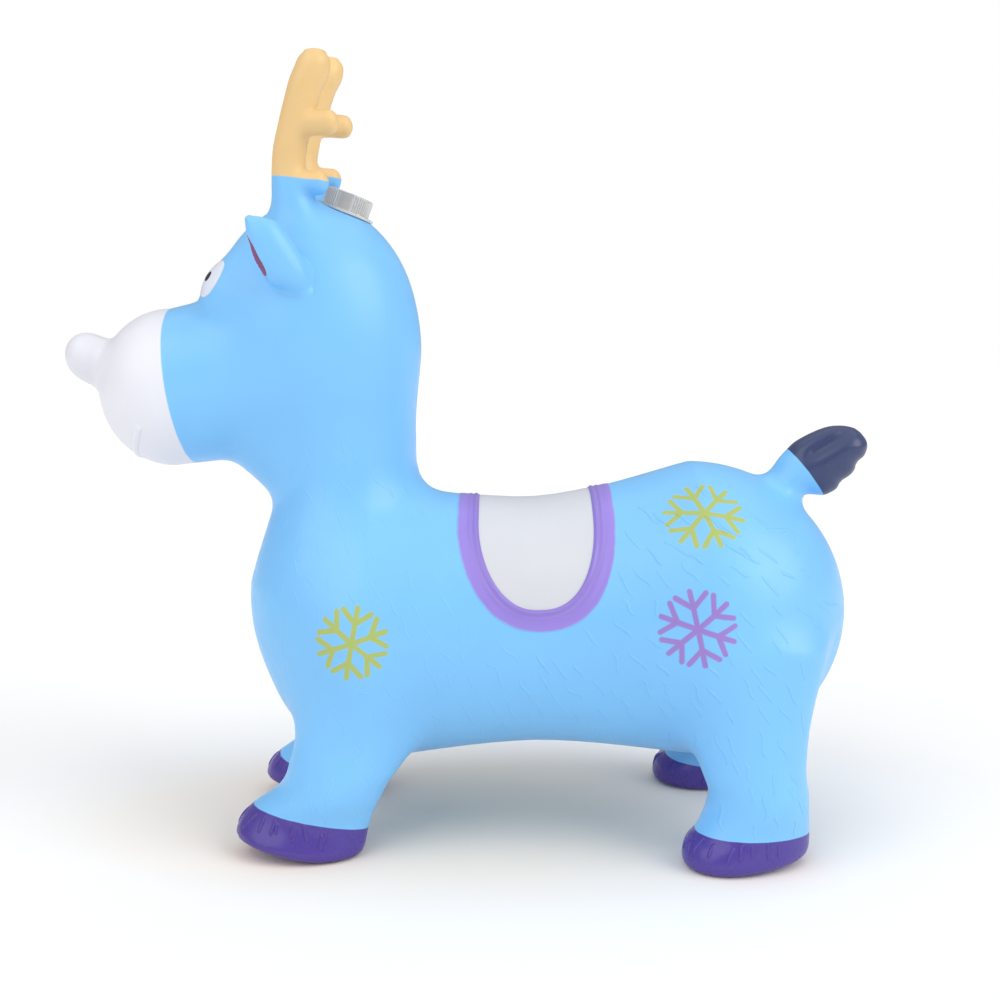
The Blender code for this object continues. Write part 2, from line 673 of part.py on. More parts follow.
def build_cap(capsule, clear):
    """Screw cap: ribbed skirt with two plain windows, rounded rim and a slightly dished top."""
    inner = HOUSING_RADIUS + SLIDE_GAP
    outer = inner + CAP_WALL
    low = flange_top() + TOUCH_GAP
    high = low + CAP_HEIGHT
    ceiling = high - CAP_TOP_THICKNESS
    count = 2 * RIB_COUNT
    rows = [
        (inner, low, 0.0),
        (outer, low, 1.0),
        (outer, high - CAP_EDGE_ROUND, 1.0),
        (outer - 0.3 * CAP_EDGE_ROUND, high - 0.3 * CAP_EDGE_ROUND, 0.0),
        (outer - CAP_EDGE_ROUND, high, 0.0),
        (outer - 2.2 * CAP_EDGE_ROUND, high - CAP_DISH_DEPTH, 0.0),
        (0.0, high - CAP_DISH_DEPTH, 0.0),
        (0.0, ceiling, 0.0),
        (inner, ceiling, 0.0),
    ]
    bm = bmesh.new()
    rings = []
    for radius, height, ribbed in rows:
        if radius == 0.0:
            rings.append([bm.verts.new((0.0, 0.0, height))])
            continue
        ring = []
        for index in range(count):
            angle = 2.0 * math.pi * index / count
            from_window = abs(math.remainder(angle - 0.5 * math.pi, math.pi))
            cut = RIB_DEPTH * ribbed * (index % 2)
            if from_window < WINDOW_HALF_ANGLE:
                cut = RIB_DEPTH * ribbed
            reach = radius - cut
            ring.append(bm.verts.new((reach * math.cos(angle), reach * math.sin(angle), height)))
        rings.append(ring)
    pairs = [(0, 1), (1, 2), (2, 3), (3, 4), (4, 5), (5, 6), (7, 8), (8, 0)]
    for lower, upper in pairs:
        join_rows(bm, rings[lower], rings[upper])
    return add_object("capsule_cap", bm, clear, capsule)


def build_seal(capsule, rubber):
    """Flat sealing ring between the housing rim and the cap."""
    middle = 0.5 * (HOUSING_RADIUS + housing_inside())
    low = neck_top() + TOUCH_GAP
    high = low + SEAL_HEIGHT
    inner = middle - 0.5 * SEAL_WIDTH
    outer = middle + 0.5 * SEAL_WIDTH
    profile = [(inner, low), (outer, low), (outer, high), (inner, high)]
    return turned("cap_seal", profile, rubber, capsule, CAPSULE_SEGMENTS)


def build_speaker(capsule, card, steel):
    """Small speaker that faces the pierced floor, with its magnet on top."""
    radius = housing_inside() - HOUSING_LEDGE_WIDTH - SLIDE_GAP
    low = -HOUSING_DEPTH + HOUSING_WALL + TOUCH_GAP
    high = low + SPEAKER_HEIGHT
    profile = [
        (0.0, low + SPEAKER_CONE_DEPTH),
        (0.4 * radius, low + SPEAKER_CONE_DEPTH),
        (radius - SPEAKER_RIM_WIDTH, low),
        (radius, low),
        (radius, high),
        (0.0, high),
    ]
    turned("speaker_frame", profile, card, capsule, PART_SEGMENTS)
    base = high + TOUCH_GAP
    cylinder("speaker_magnet", MAGNET_RADIUS, base, base + MAGNET_HEIGHT, steel, capsule)
    return high


def build_battery(capsule, plastic, steel, brass):
    """Battery tray on the ledge, three button cells and the contact plate over them."""
    low = -ledge_depth() + TOUCH_GAP
    high = low + TRAY_HEIGHT
    above = high + 2.0 * TRAY_HEIGHT
    tray_radius = housing_inside() - SLIDE_GAP
    tray = cylinder("battery_tray", tray_radius, low, high, plastic, capsule, CAPSULE_SEGMENTS)
    pocket_low = low + TRAY_FLOOR
    for index in range(CELL_COUNT):
        place = around(CELL_CIRCLE_RADIUS, 360.0 * index / CELL_COUNT)
        pocket_radius = CELL_RADIUS + SLIDE_GAP
        pocket = cylinder(f"pocket_cut_{index + 1}", pocket_radius, pocket_low, above, None, capsule)
        add_boolean(tray, hide_cutter(move_to(pocket, place)), "DIFFERENCE")
        cell_low = pocket_low + TOUCH_GAP
        profile = [
            (0.0, cell_low),
            (0.75 * CELL_RADIUS, cell_low),
            (CELL_RADIUS, cell_low + 0.1 * CELL_HEIGHT),
            (CELL_RADIUS, cell_low + CELL_HEIGHT),
            (0.0, cell_low + CELL_HEIGHT),
        ]
        move_to(turned(f"button_cell_{index + 1}", profile, steel, capsule, PART_SEGMENTS), place)
    plate_low = pocket_low + CELL_HEIGHT + 2.0 * TOUCH_GAP
    recess_radius = CONTACT_RADIUS + SLIDE_GAP
    recess_low = plate_low - TOUCH_GAP
    recess = cylinder("contact_recess_cut", recess_radius, recess_low, above, None, capsule, CAPSULE_SEGMENTS)
    add_boolean(tray, hide_cutter(recess), "DIFFERENCE")
    plate_high = plate_low + CONTACT_THICKNESS
    cylinder("battery_contact_plate", CONTACT_RADIUS, plate_low, plate_high, brass, capsule)
    return tray, high


def build_board(capsule, tray, tray_top, greens, glow, black, steel):
    """Circuit board on the tray with lamps, sound chip, shake switch and two screws."""
    low = tray_top + TOUCH_GAP
    top = low + BOARD_THICKNESS
    board_radius = housing_inside() - SLIDE_GAP
    board = cylinder("circuit_board", board_radius, low, top, greens, capsule, CAPSULE_SEGMENTS)
    seat = top + TOUCH_GAP
    lamp_top = seat + LAMP_HEIGHT
    for index in range(LAMP_COUNT):
        profile = [
            (0.0, seat),
            (LAMP_RIM_RADIUS, seat),
            (LAMP_RIM_RADIUS, seat + LAMP_RIM_HEIGHT),
            (LAMP_RADIUS, seat + LAMP_RIM_HEIGHT),
            (LAMP_RADIUS, lamp_top - LAMP_RADIUS),
            (0.7 * LAMP_RADIUS, lamp_top - 0.3 * LAMP_RADIUS),
            (0.0, lamp_top),
        ]
        lamp = turned(f"lamp_{index + 1}", profile, glow[index], capsule, 16)
        move_to(lamp, around(LAMP_CIRCLE_RADIUS, 360.0 * index / LAMP_COUNT))
    chip = [
        (0.0, seat),
        (CHIP_RADIUS, seat),
        (0.7 * CHIP_RADIUS, seat + 0.7 * CHIP_HEIGHT),
        (0.0, seat + CHIP_HEIGHT),
    ]
    turned("sound_chip", chip, black, capsule, 16)
    switch_end = 0.5 * SWITCH_LENGTH
    switch = cylinder("shake_switch", SWITCH_RADIUS, -switch_end, switch_end, steel, capsule, 16)
    switch.rotation_euler = (math.radians(90.0), 0.0, 0.0)
    switch.location = (-SWITCH_CIRCLE_RADIUS, 0.0, seat + SWITCH_RADIUS)
    hole_radius = SCREW_SHANK_RADIUS + SLIDE_GAP
    for index, degrees in enumerate((60.0, -60.0)):
        place = around(SCREW_CIRCLE_RADIUS, degrees)
        profile = [
            (0.0, seat - SCREW_SHANK_LENGTH),
            (SCREW_SHANK_RADIUS, seat - SCREW_SHANK_LENGTH),
            (SCREW_SHANK_RADIUS, seat),
            (SCREW_HEAD_RADIUS, seat),
            (0.7 * SCREW_HEAD_RADIUS, seat + SCREW_HEAD_HEIGHT),
            (0.0, seat + SCREW_HEAD_HEIGHT),
        ]
        move_to(turned(f"board_screw_{index + 1}", profile, steel, capsule, 16), place)
        hole_low = seat - SCREW_SHANK_LENGTH - TOUCH_GAP
        hole = cylinder(f"screw_cut_{index + 1}", hole_radius, hole_low, lamp_top, None, capsule, 16)
        hide_cutter(move_to(hole, place))
        add_boolean(board, hole, "DIFFERENCE")
        add_boolean(tray, hole, "DIFFERENCE")
    return low


def build_leads(capsule, tray, speaker_top, board_low, red, black):
    """Two leads from the speaker up a notch of the tray to the underside of the board."""
    reach = housing_inside() - HOUSING_LEDGE_WIDTH - 2.0 * LEAD_RADIUS - SLIDE_GAP
    notch_reach = reach - LEAD_RADIUS - SLIDE_GAP
    notch = bmesh.new()
    place = Matrix.Translation((-1.5 * notch_reach, 0.0, -0.5 * HOUSING_DEPTH))
    size = Matrix.Diagonal((notch_reach, 2.0 * LEAD_NOTCH_HALF_WIDTH, HOUSING_DEPTH, 1.0))
    bmesh.ops.create_cube(notch, size=1.0, matrix=place @ size)
    add_boolean(tray, hide_cutter(add_object("notch_cut", notch, None, capsule)), "DIFFERENCE")
    for name, side, material in (("speaker_lead_red", -0.5, red), ("speaker_lead_black", 0.5, black)):
        lead_low = speaker_top + TOUCH_GAP
        lead_high = board_low - TOUCH_GAP
        lead = cylinder(name, LEAD_RADIUS, lead_low, lead_high, material, capsule, 10)
        move_to(lead, (-reach, side * LEAD_SPACING))


def main():
    """Build every piece."""
    clear_scene()
    vinyl = make_material("blue_vinyl", (0.24, 0.61, 1.0), 0.35)
    clear = make_material("clear_plastic", (0.72, 0.74, 0.78), 0.15, alpha=0.55)
    cap_clear = make_material("clear_cap_plastic", (0.74, 0.76, 0.80), 0.12, alpha=0.5)
    white = make_material("white_plastic", (0.85, 0.86, 0.88), 0.4)
    rubber = make_material("seal_rubber", (0.12, 0.12, 0.13), 0.6)
    card = make_material("speaker_card", (0.05, 0.05, 0.055), 0.7)
    magnet_steel = make_material("magnet_steel", (0.45, 0.46, 0.48), 0.35, 1.0)
    tray_plastic = make_material("tray_plastic", (0.08, 0.08, 0.09), 0.5)
    cell_steel = make_material("cell_steel", (0.72, 0.73, 0.75), 0.25, 1.0)
    brass = make_material("contact_brass", (0.80, 0.62, 0.28), 0.3, 1.0)
    greens = make_material("board_green", (0.03, 0.25, 0.10), 0.45)
    glow = [
        make_material("lamp_red", (0.85, 0.15, 0.12), 0.2),
        make_material("lamp_blue", (0.15, 0.30, 0.90), 0.2),
        make_material("lamp_green", (0.15, 0.75, 0.25), 0.2),
    ]
    black = make_material("black_resin", (0.02, 0.02, 0.02), 0.35)
    screw_steel = make_material("screw_steel", (0.62, 0.63, 0.65), 0.3, 1.0)
    red_wire = make_material("red_wire", (0.70, 0.05, 0.04), 0.5)
    black_wire = make_material("black_wire", (0.03, 0.03, 0.03), 0.5)

    capsule = capsule_frame()
    valve = valve_frame()
    build_skin(capsule, valve, vinyl)
    build_plug(valve, white)
    build_housing(capsule, clear)
    build_cap(capsule, cap_clear)
    build_seal(capsule, rubber)
    speaker_top = build_speaker(capsule, card, magnet_steel)
    tray, tray_top = build_battery(capsule, tray_plastic, cell_steel, brass)
    board_low = build_board(capsule, tray, tray_top, greens, glow, black, screw_steel)
    build_leads(capsule, tray, speaker_top, board_low, red_wire, black_wire)


main()
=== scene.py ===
"""Looks of the inflatable hopping deer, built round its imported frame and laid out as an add-on."""

import math

import bmesh
import bpy
import numpy as np
from bpy.props import FloatProperty, FloatVectorProperty, IntProperty, PointerProperty
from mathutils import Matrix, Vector


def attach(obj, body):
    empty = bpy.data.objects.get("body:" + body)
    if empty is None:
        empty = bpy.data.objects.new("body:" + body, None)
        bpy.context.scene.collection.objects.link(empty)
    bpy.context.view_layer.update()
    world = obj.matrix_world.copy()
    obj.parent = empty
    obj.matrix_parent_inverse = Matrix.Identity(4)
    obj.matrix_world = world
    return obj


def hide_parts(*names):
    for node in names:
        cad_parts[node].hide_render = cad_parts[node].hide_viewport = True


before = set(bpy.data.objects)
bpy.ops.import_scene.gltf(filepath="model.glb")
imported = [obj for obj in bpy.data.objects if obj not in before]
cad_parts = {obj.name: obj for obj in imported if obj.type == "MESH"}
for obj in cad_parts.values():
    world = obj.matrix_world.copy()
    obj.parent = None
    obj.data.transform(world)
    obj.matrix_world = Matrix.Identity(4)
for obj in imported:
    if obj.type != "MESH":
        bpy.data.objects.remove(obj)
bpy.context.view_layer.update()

bl_info = {
    "name": "Inflatable Hopping Deer",
    "version": (1, 0, 0),
    "blender": (4, 5, 0),
    "location": "View3D > Sidebar > Deer",
    "description": "Builds the looks of an inflatable hopping deer round its CAD frame",
    "category": "Object",
}

# Forms of the moulding: height or length, two centre places, two half sizes
TORSO_ROWS = (
    (-0.0700, 0.0, 0.1578, 0.0973, 0.1047),
    (0.0500, 0.0, 0.1588, 0.0918, 0.0918),
    (0.1663, 0.0, 0.1678, 0.1064, 0.1105),
)
TORSO_DOMES = (0.0868, 0.1159)
NECK_ROWS = (
    (0.1900, -0.1247, 0.0, 0.0339, 0.0542),
    (0.2620, -0.0928, 0.0, 0.0502, 0.0544),
    (0.3500, -0.0912, 0.0, 0.0480, 0.0502),
)
NECK_DOMES = (0.0565, 0.0560)
HEAD_CENTRE = (-0.1136, 0.0, 0.3727)
HEAD_RADII = (0.0770, 0.0703, 0.0961)
MUZZLE_ROWS = (
    (-0.2189, 0.0, 0.3339, 0.0602, 0.0579),
    (-0.1337, 0.0, 0.3490, 0.0531, 0.0639),
)
MUZZLE_DOMES = (0.0530, 0.0545)
NOSE_CENTRE = (-0.2807, 0.0, 0.3557)
NOSE_RADII = (0.0171, 0.0208, 0.0184)
NOSE_TILT = 0.12
BROW_CENTRE = (-0.1666, 0.0263, 0.4031)
BROW_RADII = (0.0205, 0.0229, 0.0186)
THROAT_CENTRE = (-0.1348, 0.0, 0.2967)
THROAT_RADII = (0.0388, 0.0390, 0.0393)
FRONT_LEG_ROWS = (
    (-0.0040, -0.1216, 0.0644, 0.0417, 0.0266),
    (0.0050, -0.1216, 0.0644, 0.0467, 0.0306),
    (0.0250, -0.1148, 0.0609, 0.0447, 0.0287),
    (0.0484, -0.0976, 0.0613, 0.0386, 0.0321),
    (0.0770, -0.0851, 0.0649, 0.0402, 0.0257),
    (0.1500, -0.0663, 0.0518, 0.0380, 0.0298),
)
REAR_LEG_ROWS = (
    (-0.0040, 0.1985, 0.0828, 0.0405, 0.0264),
    (0.0050, 0.1985, 0.0828, 0.0455, 0.0304),
    (0.0165, 0.1998, 0.0820, 0.0448, 0.0306),
    (0.0260, 0.2038, 0.0810, 0.0402, 0.0304),
    (0.0484, 0.2077, 0.0781, 0.0354, 0.0347),
    (0.0770, 0.2035, 0.0777, 0.0374, 0.0303),
    (0.1500, 0.2100, 0.0760, 0.0381, 0.0233),
)
LEG_DOMES = (0.0040, 0.0120)
FRONT_TOE = (0.12, 0.08)
REAR_TOE = (0.16, -0.10)
FRONT_SOLE = (-0.1050, -0.2191)
REAR_SOLE = (0.1864, 0.0894)
SOLE_ROUND = 0.0038
FRONT_HOOF_LINE = (-0.1996, 0.1327, -0.0044)
REAR_HOOF_LINE = (-0.0206, 0.0686, 0.0219)
BEAM_ROWS = (
    (0.4500, -0.1205, 0.0280, 0.0175, 0.0175),
    (0.4850, -0.1252, 0.0298, 0.0122, 0.0123),
    (0.5030, -0.1237, 0.0316, 0.0118, 0.0123),
    (0.5200, -0.1191, 0.0334, 0.0120, 0.0125),
    (0.5410, -0.1127, 0.0358, 0.0122, 0.0130),
    (0.5500, -0.1088, 0.0366, 0.0130, 0.0128),
    (0.5570, -0.1062, 0.0373, 0.0122, 0.0120),
    (0.5622, -0.1051, 0.0378, 0.0109, 0.0100),
    (0.5655, -0.1046, 0.0381, 0.0082, 0.0076),
)
BEAM_DOMES = (0.0180, 0.0030)
MID_PRONG_ROWS = (
    (-0.1195, 0.0334, 0.5190, 0.0088, 0.0088),
    (-0.0950, 0.0420, 0.5185, 0.0086, 0.0086),
)
LOW_PRONG_ROWS = (
    (-0.1240, 0.0298, 0.4785, 0.0088, 0.0088),
    (-0.1035, 0.0355, 0.4785, 0.0083, 0.0083),
)
PRONG_DOMES = (0.0080, 0.0070)
RIGHT_ANTLER_RAISE = 0.0100
EAR_ROOT = np.array((-0.1145, 0.0650, 0.4000))
EAR_TIP = np.array((-0.1480, 0.0760, 0.4510))
EAR_BACK = np.array((0.25, 1.0, 0.0))
EAR_ROWS = (
    (0.0000, 0.0040, 0.0, 0.0030, 0.0035),
    (0.0040, 0.0044, 0.0, 0.0072, 0.0066),
    (0.0100, 0.0040, 0.0, 0.0110, 0.0090),
    (0.0200, 0.0022, 0.0, 0.0146, 0.0105),
    (0.0360, 0.0026, 0.0, 0.0146, 0.0102),
    (0.0470, 0.0042, 0.0, 0.0120, 0.0085),
    (0.0535, 0.0036, 0.0, 0.0086, 0.0062),
    (0.0580, 0.0026, 0.0, 0.0052, 0.0040),
    (0.0605, 0.0018, 0.0, 0.0028, 0.0024),
)
EAR_DOMES = (0.0022, 0.0018)
EAR_HOLLOW_ROWS = (
    (0.0205, -0.0112, 0.0010, 0.0025, 0.0020),
    (0.0265, -0.0128, 0.0015, 0.0074, 0.0050),
    (0.0340, -0.0130, 0.0016, 0.0084, 0.0054),
    (0.0420, -0.0116, 0.0014, 0.0072, 0.0048),
    (0.0500, -0.0085, 0.0008, 0.0030, 0.0022),
)
EAR_HOLLOW_DOMES = (0.0030, 0.0030)
TAIL_OUTLINE = (
    (0.2294, 0.2756), (0.2395, 0.2883), (0.2474, 0.2950), (0.2625, 0.3025), (0.2746, 0.3054),
    (0.2873, 0.3039), (0.2945, 0.2984), (0.2982, 0.2913), (0.2959, 0.2830), (0.2905, 0.2778),
    (0.2892, 0.2726), (0.2856, 0.2680), (0.2791, 0.2635), (0.2763, 0.2583), (0.2719, 0.2552),
    (0.2660, 0.2530), (0.2562, 0.2537), (0.2510, 0.2530), (0.2474, 0.2477), (0.2373, 0.2348),
    (0.2181, 0.2537),
)
TAIL_HALF_THICKNESS = 0.0195
TAIL_EDGE_WIDTH = 0.0230
TAIL_GROOVE_START = (0.2470, 0.2815)
TAIL_GROOVE_WAY = (0.857, 0.515)
TAIL_GROOVE_HALF_WIDTH = 0.0042
TAIL_GROOVE_DEPTH = 0.26

# Fillets between the forms
NECK_FILLET = 0.030
LEG_FILLET = 0.024
MUZZLE_FILLET = 0.016
THROAT_FILLET = 0.016
BROW_FILLET = 0.0179
NOSE_FILLET = 0.0171
HEAD_FILLET = 0.020
ANTLER_FILLET = 0.014
PRONG_FILLET = 0.004
EAR_FILLET = 0.007
EAR_RIM_ROUND = 0.0010
TAIL_FILLET = 0.012

# Hoof, ear, antler and tail details
HOOF_TOP = 0.060
HOOF_BLEND = 0.050
TOE_REACH = 0.045
SOLE_EASE = 0.010
EAR_SINK = 0.0012
ANTLER_FOOT_Z = 0.450
ANTLER_FOOT_STRETCH = 0.035
TAIL_REGION = 0.19
TAIL_GROOVE_RUN_IN = 0.010
TAIL_FAR_DISTANCE = 0.05

# Boxes that the surface nets are drawn in
SKIN_BOX = ((-0.318, -0.150, -0.016), (0.318, 0.150, 0.600))
EAR_BOX = ((-0.170, 0.020, 0.376), (-0.085, 0.110, 0.470))
EAR_GRID = 0.0010

# Saddle, eyes and mouth
TORSO_RADIUS = 0.093
TORSO_AXIS_Z = 0.160
TORSO_CAST_REACH = 0.19
SADDLE_POWERS = (0.93, 0.78)
SADDLE_OVERLAP = 0.0006
RELIEF_SINK = 0.0010
EYE_CENTRE = (-0.1838, 0.0372, 0.4145)
EYE_RADII = (0.0150, 0.0150)
PUPIL_CENTRE = (-0.1832, 0.0385, 0.4142)
PUPIL_RADII = (0.0038, 0.0040)
GAZE = (-0.702, 0.494, 0.513)
MOUTH_PLACE = (-0.2445, 0.336)
MOUTH_BOW = 0.0131
MOUTH_HALF_ANGLE = math.radians(63.0)
MOUTH_RADIUS = 0.0027
MOUTH_FLATNESS = 0.55
MOUTH_END_START = 0.958
MOUTH_END_RUN = 0.042
MOUTH_SINK = 0.0004
MOUTH_CAST_REACH = 0.09

# Hair strokes and hoof folds
HAIR_FIELD = ((-0.165, 0.285), (0.035, 0.375))
HAIR_SCATTER = 0.42
HAIR_HALF_WIDTH = 0.0011
HAIR_START = 0.20
FOLD_HALF_WIDTH = 0.0015
FOLD_HEIGHT = 0.00085
FOLD_START = 0.075
STROKE_SINK = 0.0006
STROKE_FACING = 0.42

# Capsule and valve
CAPSULE_SEAT = np.array((-0.0905, 0.0, 0.4600))
CAPSULE_TILT = math.radians(20.7)
VALVE_PLACE = np.array((0.045, 0.0, 0.0685))
RIB_DEPTH = 0.0009
# Share of the cap's colour left in its painted shade
PAINTED_SHADE_TONE = 0.70
WINDOW_HALF_ANGLE = math.radians(23.0)
THREAD_PITCH = 0.0030
FLANGE_NOTCHES = 6
GRILLE_HOLES = 6

# Left is the side that the camera sees
HANDS = ((-1.0, "left"), (1.0, "right"))

# Floor and room of the stage
FLOOR_REACH = 12.0
FLOOR_DROP = 0.0004
# Reach and colour drops of the warm tint painted under the toy against the blue light the body throws on the
# floor
FLOOR_TINT_REACH = (0.36, 0.20)
FLOOR_TINT_DROPS = (0.0, 0.11, 0.235)
GLOSSY_ROOM = 0.35


def linear(red, green, blue):
    """Scene-linear colour from 0 to 255 display values, by the sRGB curve."""
    values = np.array((red, green, blue)) / 255.0
    low = values / 12.92
    high = ((values + 0.055) / 1.055) ** 2.4
    return tuple(float(v) for v in np.where(values <= 0.04045, low, high))


def unit(vector):
    """The vector at length one."""
    vector = np.asarray(vector, float)
    return vector / np.linalg.norm(vector)


EAR_WAY = unit(EAR_TIP - EAR_ROOT)
EAR_BACK = unit(EAR_BACK - EAR_WAY * (EAR_BACK @ EAR_WAY))
EAR_ACROSS = np.cross(EAR_BACK, EAR_WAY)
EAR_AXES = np.stack((EAR_WAY, EAR_ACROSS, EAR_BACK))


def length_value(name, description, default, **limits):
    """A length property in metres."""
    return FloatProperty(name=name, description=description, default=default, unit="LENGTH", **limits)


def angle_value(name, description, degrees):
    """An angle property with its default given in degrees."""
    return FloatProperty(name=name, description=description, default=math.radians(degrees), subtype="ANGLE")


def plain_value(name, description, default):
    """A plain number property."""
    return FloatProperty(name=name, description=description, default=default)


def colour_value(name, description, shade):
    """A colour property with its default given in display values."""
    return FloatVectorProperty(
        name=name, description=description, subtype="COLOR", size=3, min=0.0, max=1.0,
        default=linear(*shade))


class DeerSizes(bpy.types.PropertyGroup):
    """Sizes that a user would change."""

    grid_step: length_value(
        "Skin grid", "Spacing of the grid that the skin is drawn on", 0.0028, min=0.002, max=0.01)
    saddle_front: length_value("Saddle front", "Place of the saddle's front edge", -0.0080)
    saddle_rear: length_value("Saddle rear", "Place of the saddle's rear edge", 0.1062)
    saddle_straight: angle_value(
        "Saddle straight part", "Angle from the spine where the flap starts to narrow", 31.0)
    saddle_drop: angle_value("Saddle drop", "Angle from the spine to the lowest point of the flap", 84.5)
    welt_width: length_value("Welt width", "Width of the purple welt round the pad", 0.0160)
    welt_height: length_value("Welt height", "Height of the welt's bead over the skin", 0.0016)
    stroke_spacing: length_value("Hair spacing", "Mean distance between moulded hair strokes", 0.0165)
    stroke_height: length_value("Hair height", "Height of a moulded hair stroke", 0.00045)
    rib_count: IntProperty(
        name="Cap ribs", description="Grip ribs round the whole cap", default=56, min=12, max=120)


class DeerColours(bpy.types.PropertyGroup):
    """Colours that a user would change."""

    body: colour_value("Body", "Vinyl of the body", (126, 196, 249))
    muzzle: colour_value("Muzzle", "Paint of the muzzle and nose", (230, 231, 239))
    antler: colour_value("Antlers", "Paint of the antlers", (236, 199, 138))
    hoof: colour_value("Hooves", "Paint of the hooves", (80, 62, 152))
    tail: colour_value("Tail tip", "Paint of the tail tip", (58, 68, 106))
    ear: colour_value("Ear lining", "Paint inside the ears", (143, 85, 128))
    flake_yellow: colour_value("Yellow flakes", "Sprayed yellow snowflakes", (178, 188, 48))
    flake_purple: colour_value("Purple flakes", "Sprayed purple snowflakes", (158, 112, 196))
    pad: colour_value("Pad", "Saddle pad", (211, 213, 219))
    welt: colour_value("Welt", "Border of the saddle", (154, 132, 220))
    eye: colour_value("Eye", "White of the eye", (224, 229, 243))
    pupil: colour_value("Pupil", "Pupil of the eye", (14, 14, 18))
    clear: colour_value("Clear plastic", "Tint of the capsule", (250, 249, 248))


class DeerStage(bpy.types.PropertyGroup):
    """Camera and light."""

    camera_x: length_value("Camera X", "Camera place along the body", 0.0235)
    camera_y: length_value("Camera Y", "Camera distance in front of the body", -0.9409)
    camera_z: length_value("Camera height", "Camera height over the floor", 0.3764)
    camera_pitch: angle_value("Camera pitch", "Downward tilt of the camera", 7.7)
    lens: plain_value("Lens", "Focal length on a 36 mm sensor", 45.36)
    left: plain_value("Left light", "Strength of the soft left light", 1.0)
    right: plain_value("Right light", "Strength of the soft right light", 1.35)
    top: plain_value("Top light", "Strength of the soft top light", 0.78)
    fill: plain_value("Room light", "Strength of the even room light", 0.43)
    floor: plain_value("Floor tone", "How much light the floor gives back", 0.97)


# Field of the moulding


def spline(rows, steps):
    """Catmull-Rom spans of four lists of rows: the usual cubic, with the step as its share."""
    a, b, c, d = (part[:, None, :] for part in rows)
    share = (np.arange(steps) / steps)[:, None]
    spans = 0.5 * (2 * b + (c - a) * share + (2 * a - 5 * b + 4 * c - d) * share ** 2
                   + (3 * b - a - 3 * c + d) * share ** 3)
    return spans.reshape(-1, a.shape[2])


def smoothed(rows, steps=8):
    """Rows on a smooth curve through them all, from the first to the last."""
    rows = np.asarray(rows, float)
    ends = np.vstack((rows[:1], rows, rows[-1:]))
    return np.vstack((spline([ends[i:i + len(rows) - 1] for i in range(4)], steps), rows[-1:]))


def carried(points, axis, rows, domes):
    """Distance to an ellipse carried along one axis: scaled radius less one, over its slope."""
    rows = smoothed(rows)
    one, two = [i for i in range(3) if i != axis]
    along = points[:, axis]
    held = np.clip(along, rows[0, 0], rows[-1, 0])
    centre_1, centre_2, radius_1, radius_2 = (
        np.interp(held, rows[:, 0], rows[:, i]) for i in range(1, 5))
    over = along - held
    dome = np.where(over < 0.0, domes[0], domes[1])
    u = (points[:, one] - centre_1) / radius_1
    v = (points[:, two] - centre_2) / radius_2
    w = over / dome
    reach = np.sqrt(u * u + v * v + w * w + 1e-12)
    slope = np.sqrt((u / radius_1) ** 2 + (v / radius_2) ** 2 + (w / dome) ** 2
                    + 1e-12 / (radius_1 * radius_2))
    return reach * (reach - 1.0) / slope


def ellipsoid(local, radii):
    """Distance to an ellipsoid: scaled radius less one, over its slope."""
    scaled = local / np.asarray(radii)
    reach = np.sqrt((scaled ** 2).sum(1) + 1e-12)
    slope = np.sqrt(((scaled / np.asarray(radii)) ** 2).sum(1) + 1e-12 / min(radii) ** 2)
    return reach * (reach - 1.0) / slope


def joined(one, two, fillet):
    """Smooth union: the smaller distance, lowered by a parabola where the two are close."""
    near = np.maximum(fillet - np.abs(one - two), 0.0) / fillet
    return np.minimum(one, two) - near * near * fillet * 0.25


def cut_by(one, two, fillet):
    """Smooth overlap: the larger distance, raised by a parabola where the two are close."""
    return -joined(-one, -two, fillet)


def flipped(points):
    """The points mirrored to the other side."""
    return points * np.array((1.0, -1.0, 1.0))


def folded(points):
    """The points with their side distance made positive."""
    return np.stack((points[:, 0], np.abs(points[:, 1]), points[:, 2]), 1)


def antler_field(points):
    """Distance to one antler: a beam and two prongs that point to the rear."""
    beam = carried(points, 2, BEAM_ROWS, BEAM_DOMES)
    for rows in (MID_PRONG_ROWS, LOW_PRONG_ROWS):
        beam = joined(beam, carried(points, 0, rows, PRONG_DOMES), PRONG_FILLET)
    return beam


def antlers_field(points, body):
    """The body with both antlers; the right one stands higher, its foot stretched."""
    body = joined(body, antler_field(flipped(points)), ANTLER_FILLET)
    lift = RIGHT_ANTLER_RAISE * np.clip((points[:, 2] - ANTLER_FOOT_Z) / ANTLER_FOOT_STRETCH, 0.0, 1.0)
    lowered = points - lift[:, None] * np.array((0.0, 0.0, 1.0))
    return joined(body, antler_field(lowered), ANTLER_FILLET)


def leg_field(points, rows, toe, sole):
    """Distance to one leg: a narrowed, turned hoof whose flat sole rises from a start at a slope."""
    narrow, turn = toe
    low = np.clip((HOOF_TOP - points[:, 2]) / HOOF_BLEND, 0.0, 1.0)
    along = points[:, 0] - rows[2][1]
    beside = points[:, 1] - rows[2][2] - low * turn * along
    shaped = points.copy()
    shaped[:, 1] = rows[2][2] + beside * (1.0 + low * narrow * np.clip(along / TOE_REACH, -1.2, 1.2))
    past = (points[:, 0] - sole[0]) * np.sign(sole[1])
    rise = abs(sole[1]) * 0.5 * (past + np.sqrt(past ** 2 + SOLE_EASE ** 2))
    shaped[:, 2] -= low * rise
    return cut_by(carried(shaped, 2, rows, LEG_DOMES), -shaped[:, 2], SOLE_ROUND)


def ear_local(points):
    """Places in the ear's own axes: along, across to the rear, and out of its back."""
    return (points - EAR_ROOT) @ EAR_AXES.T


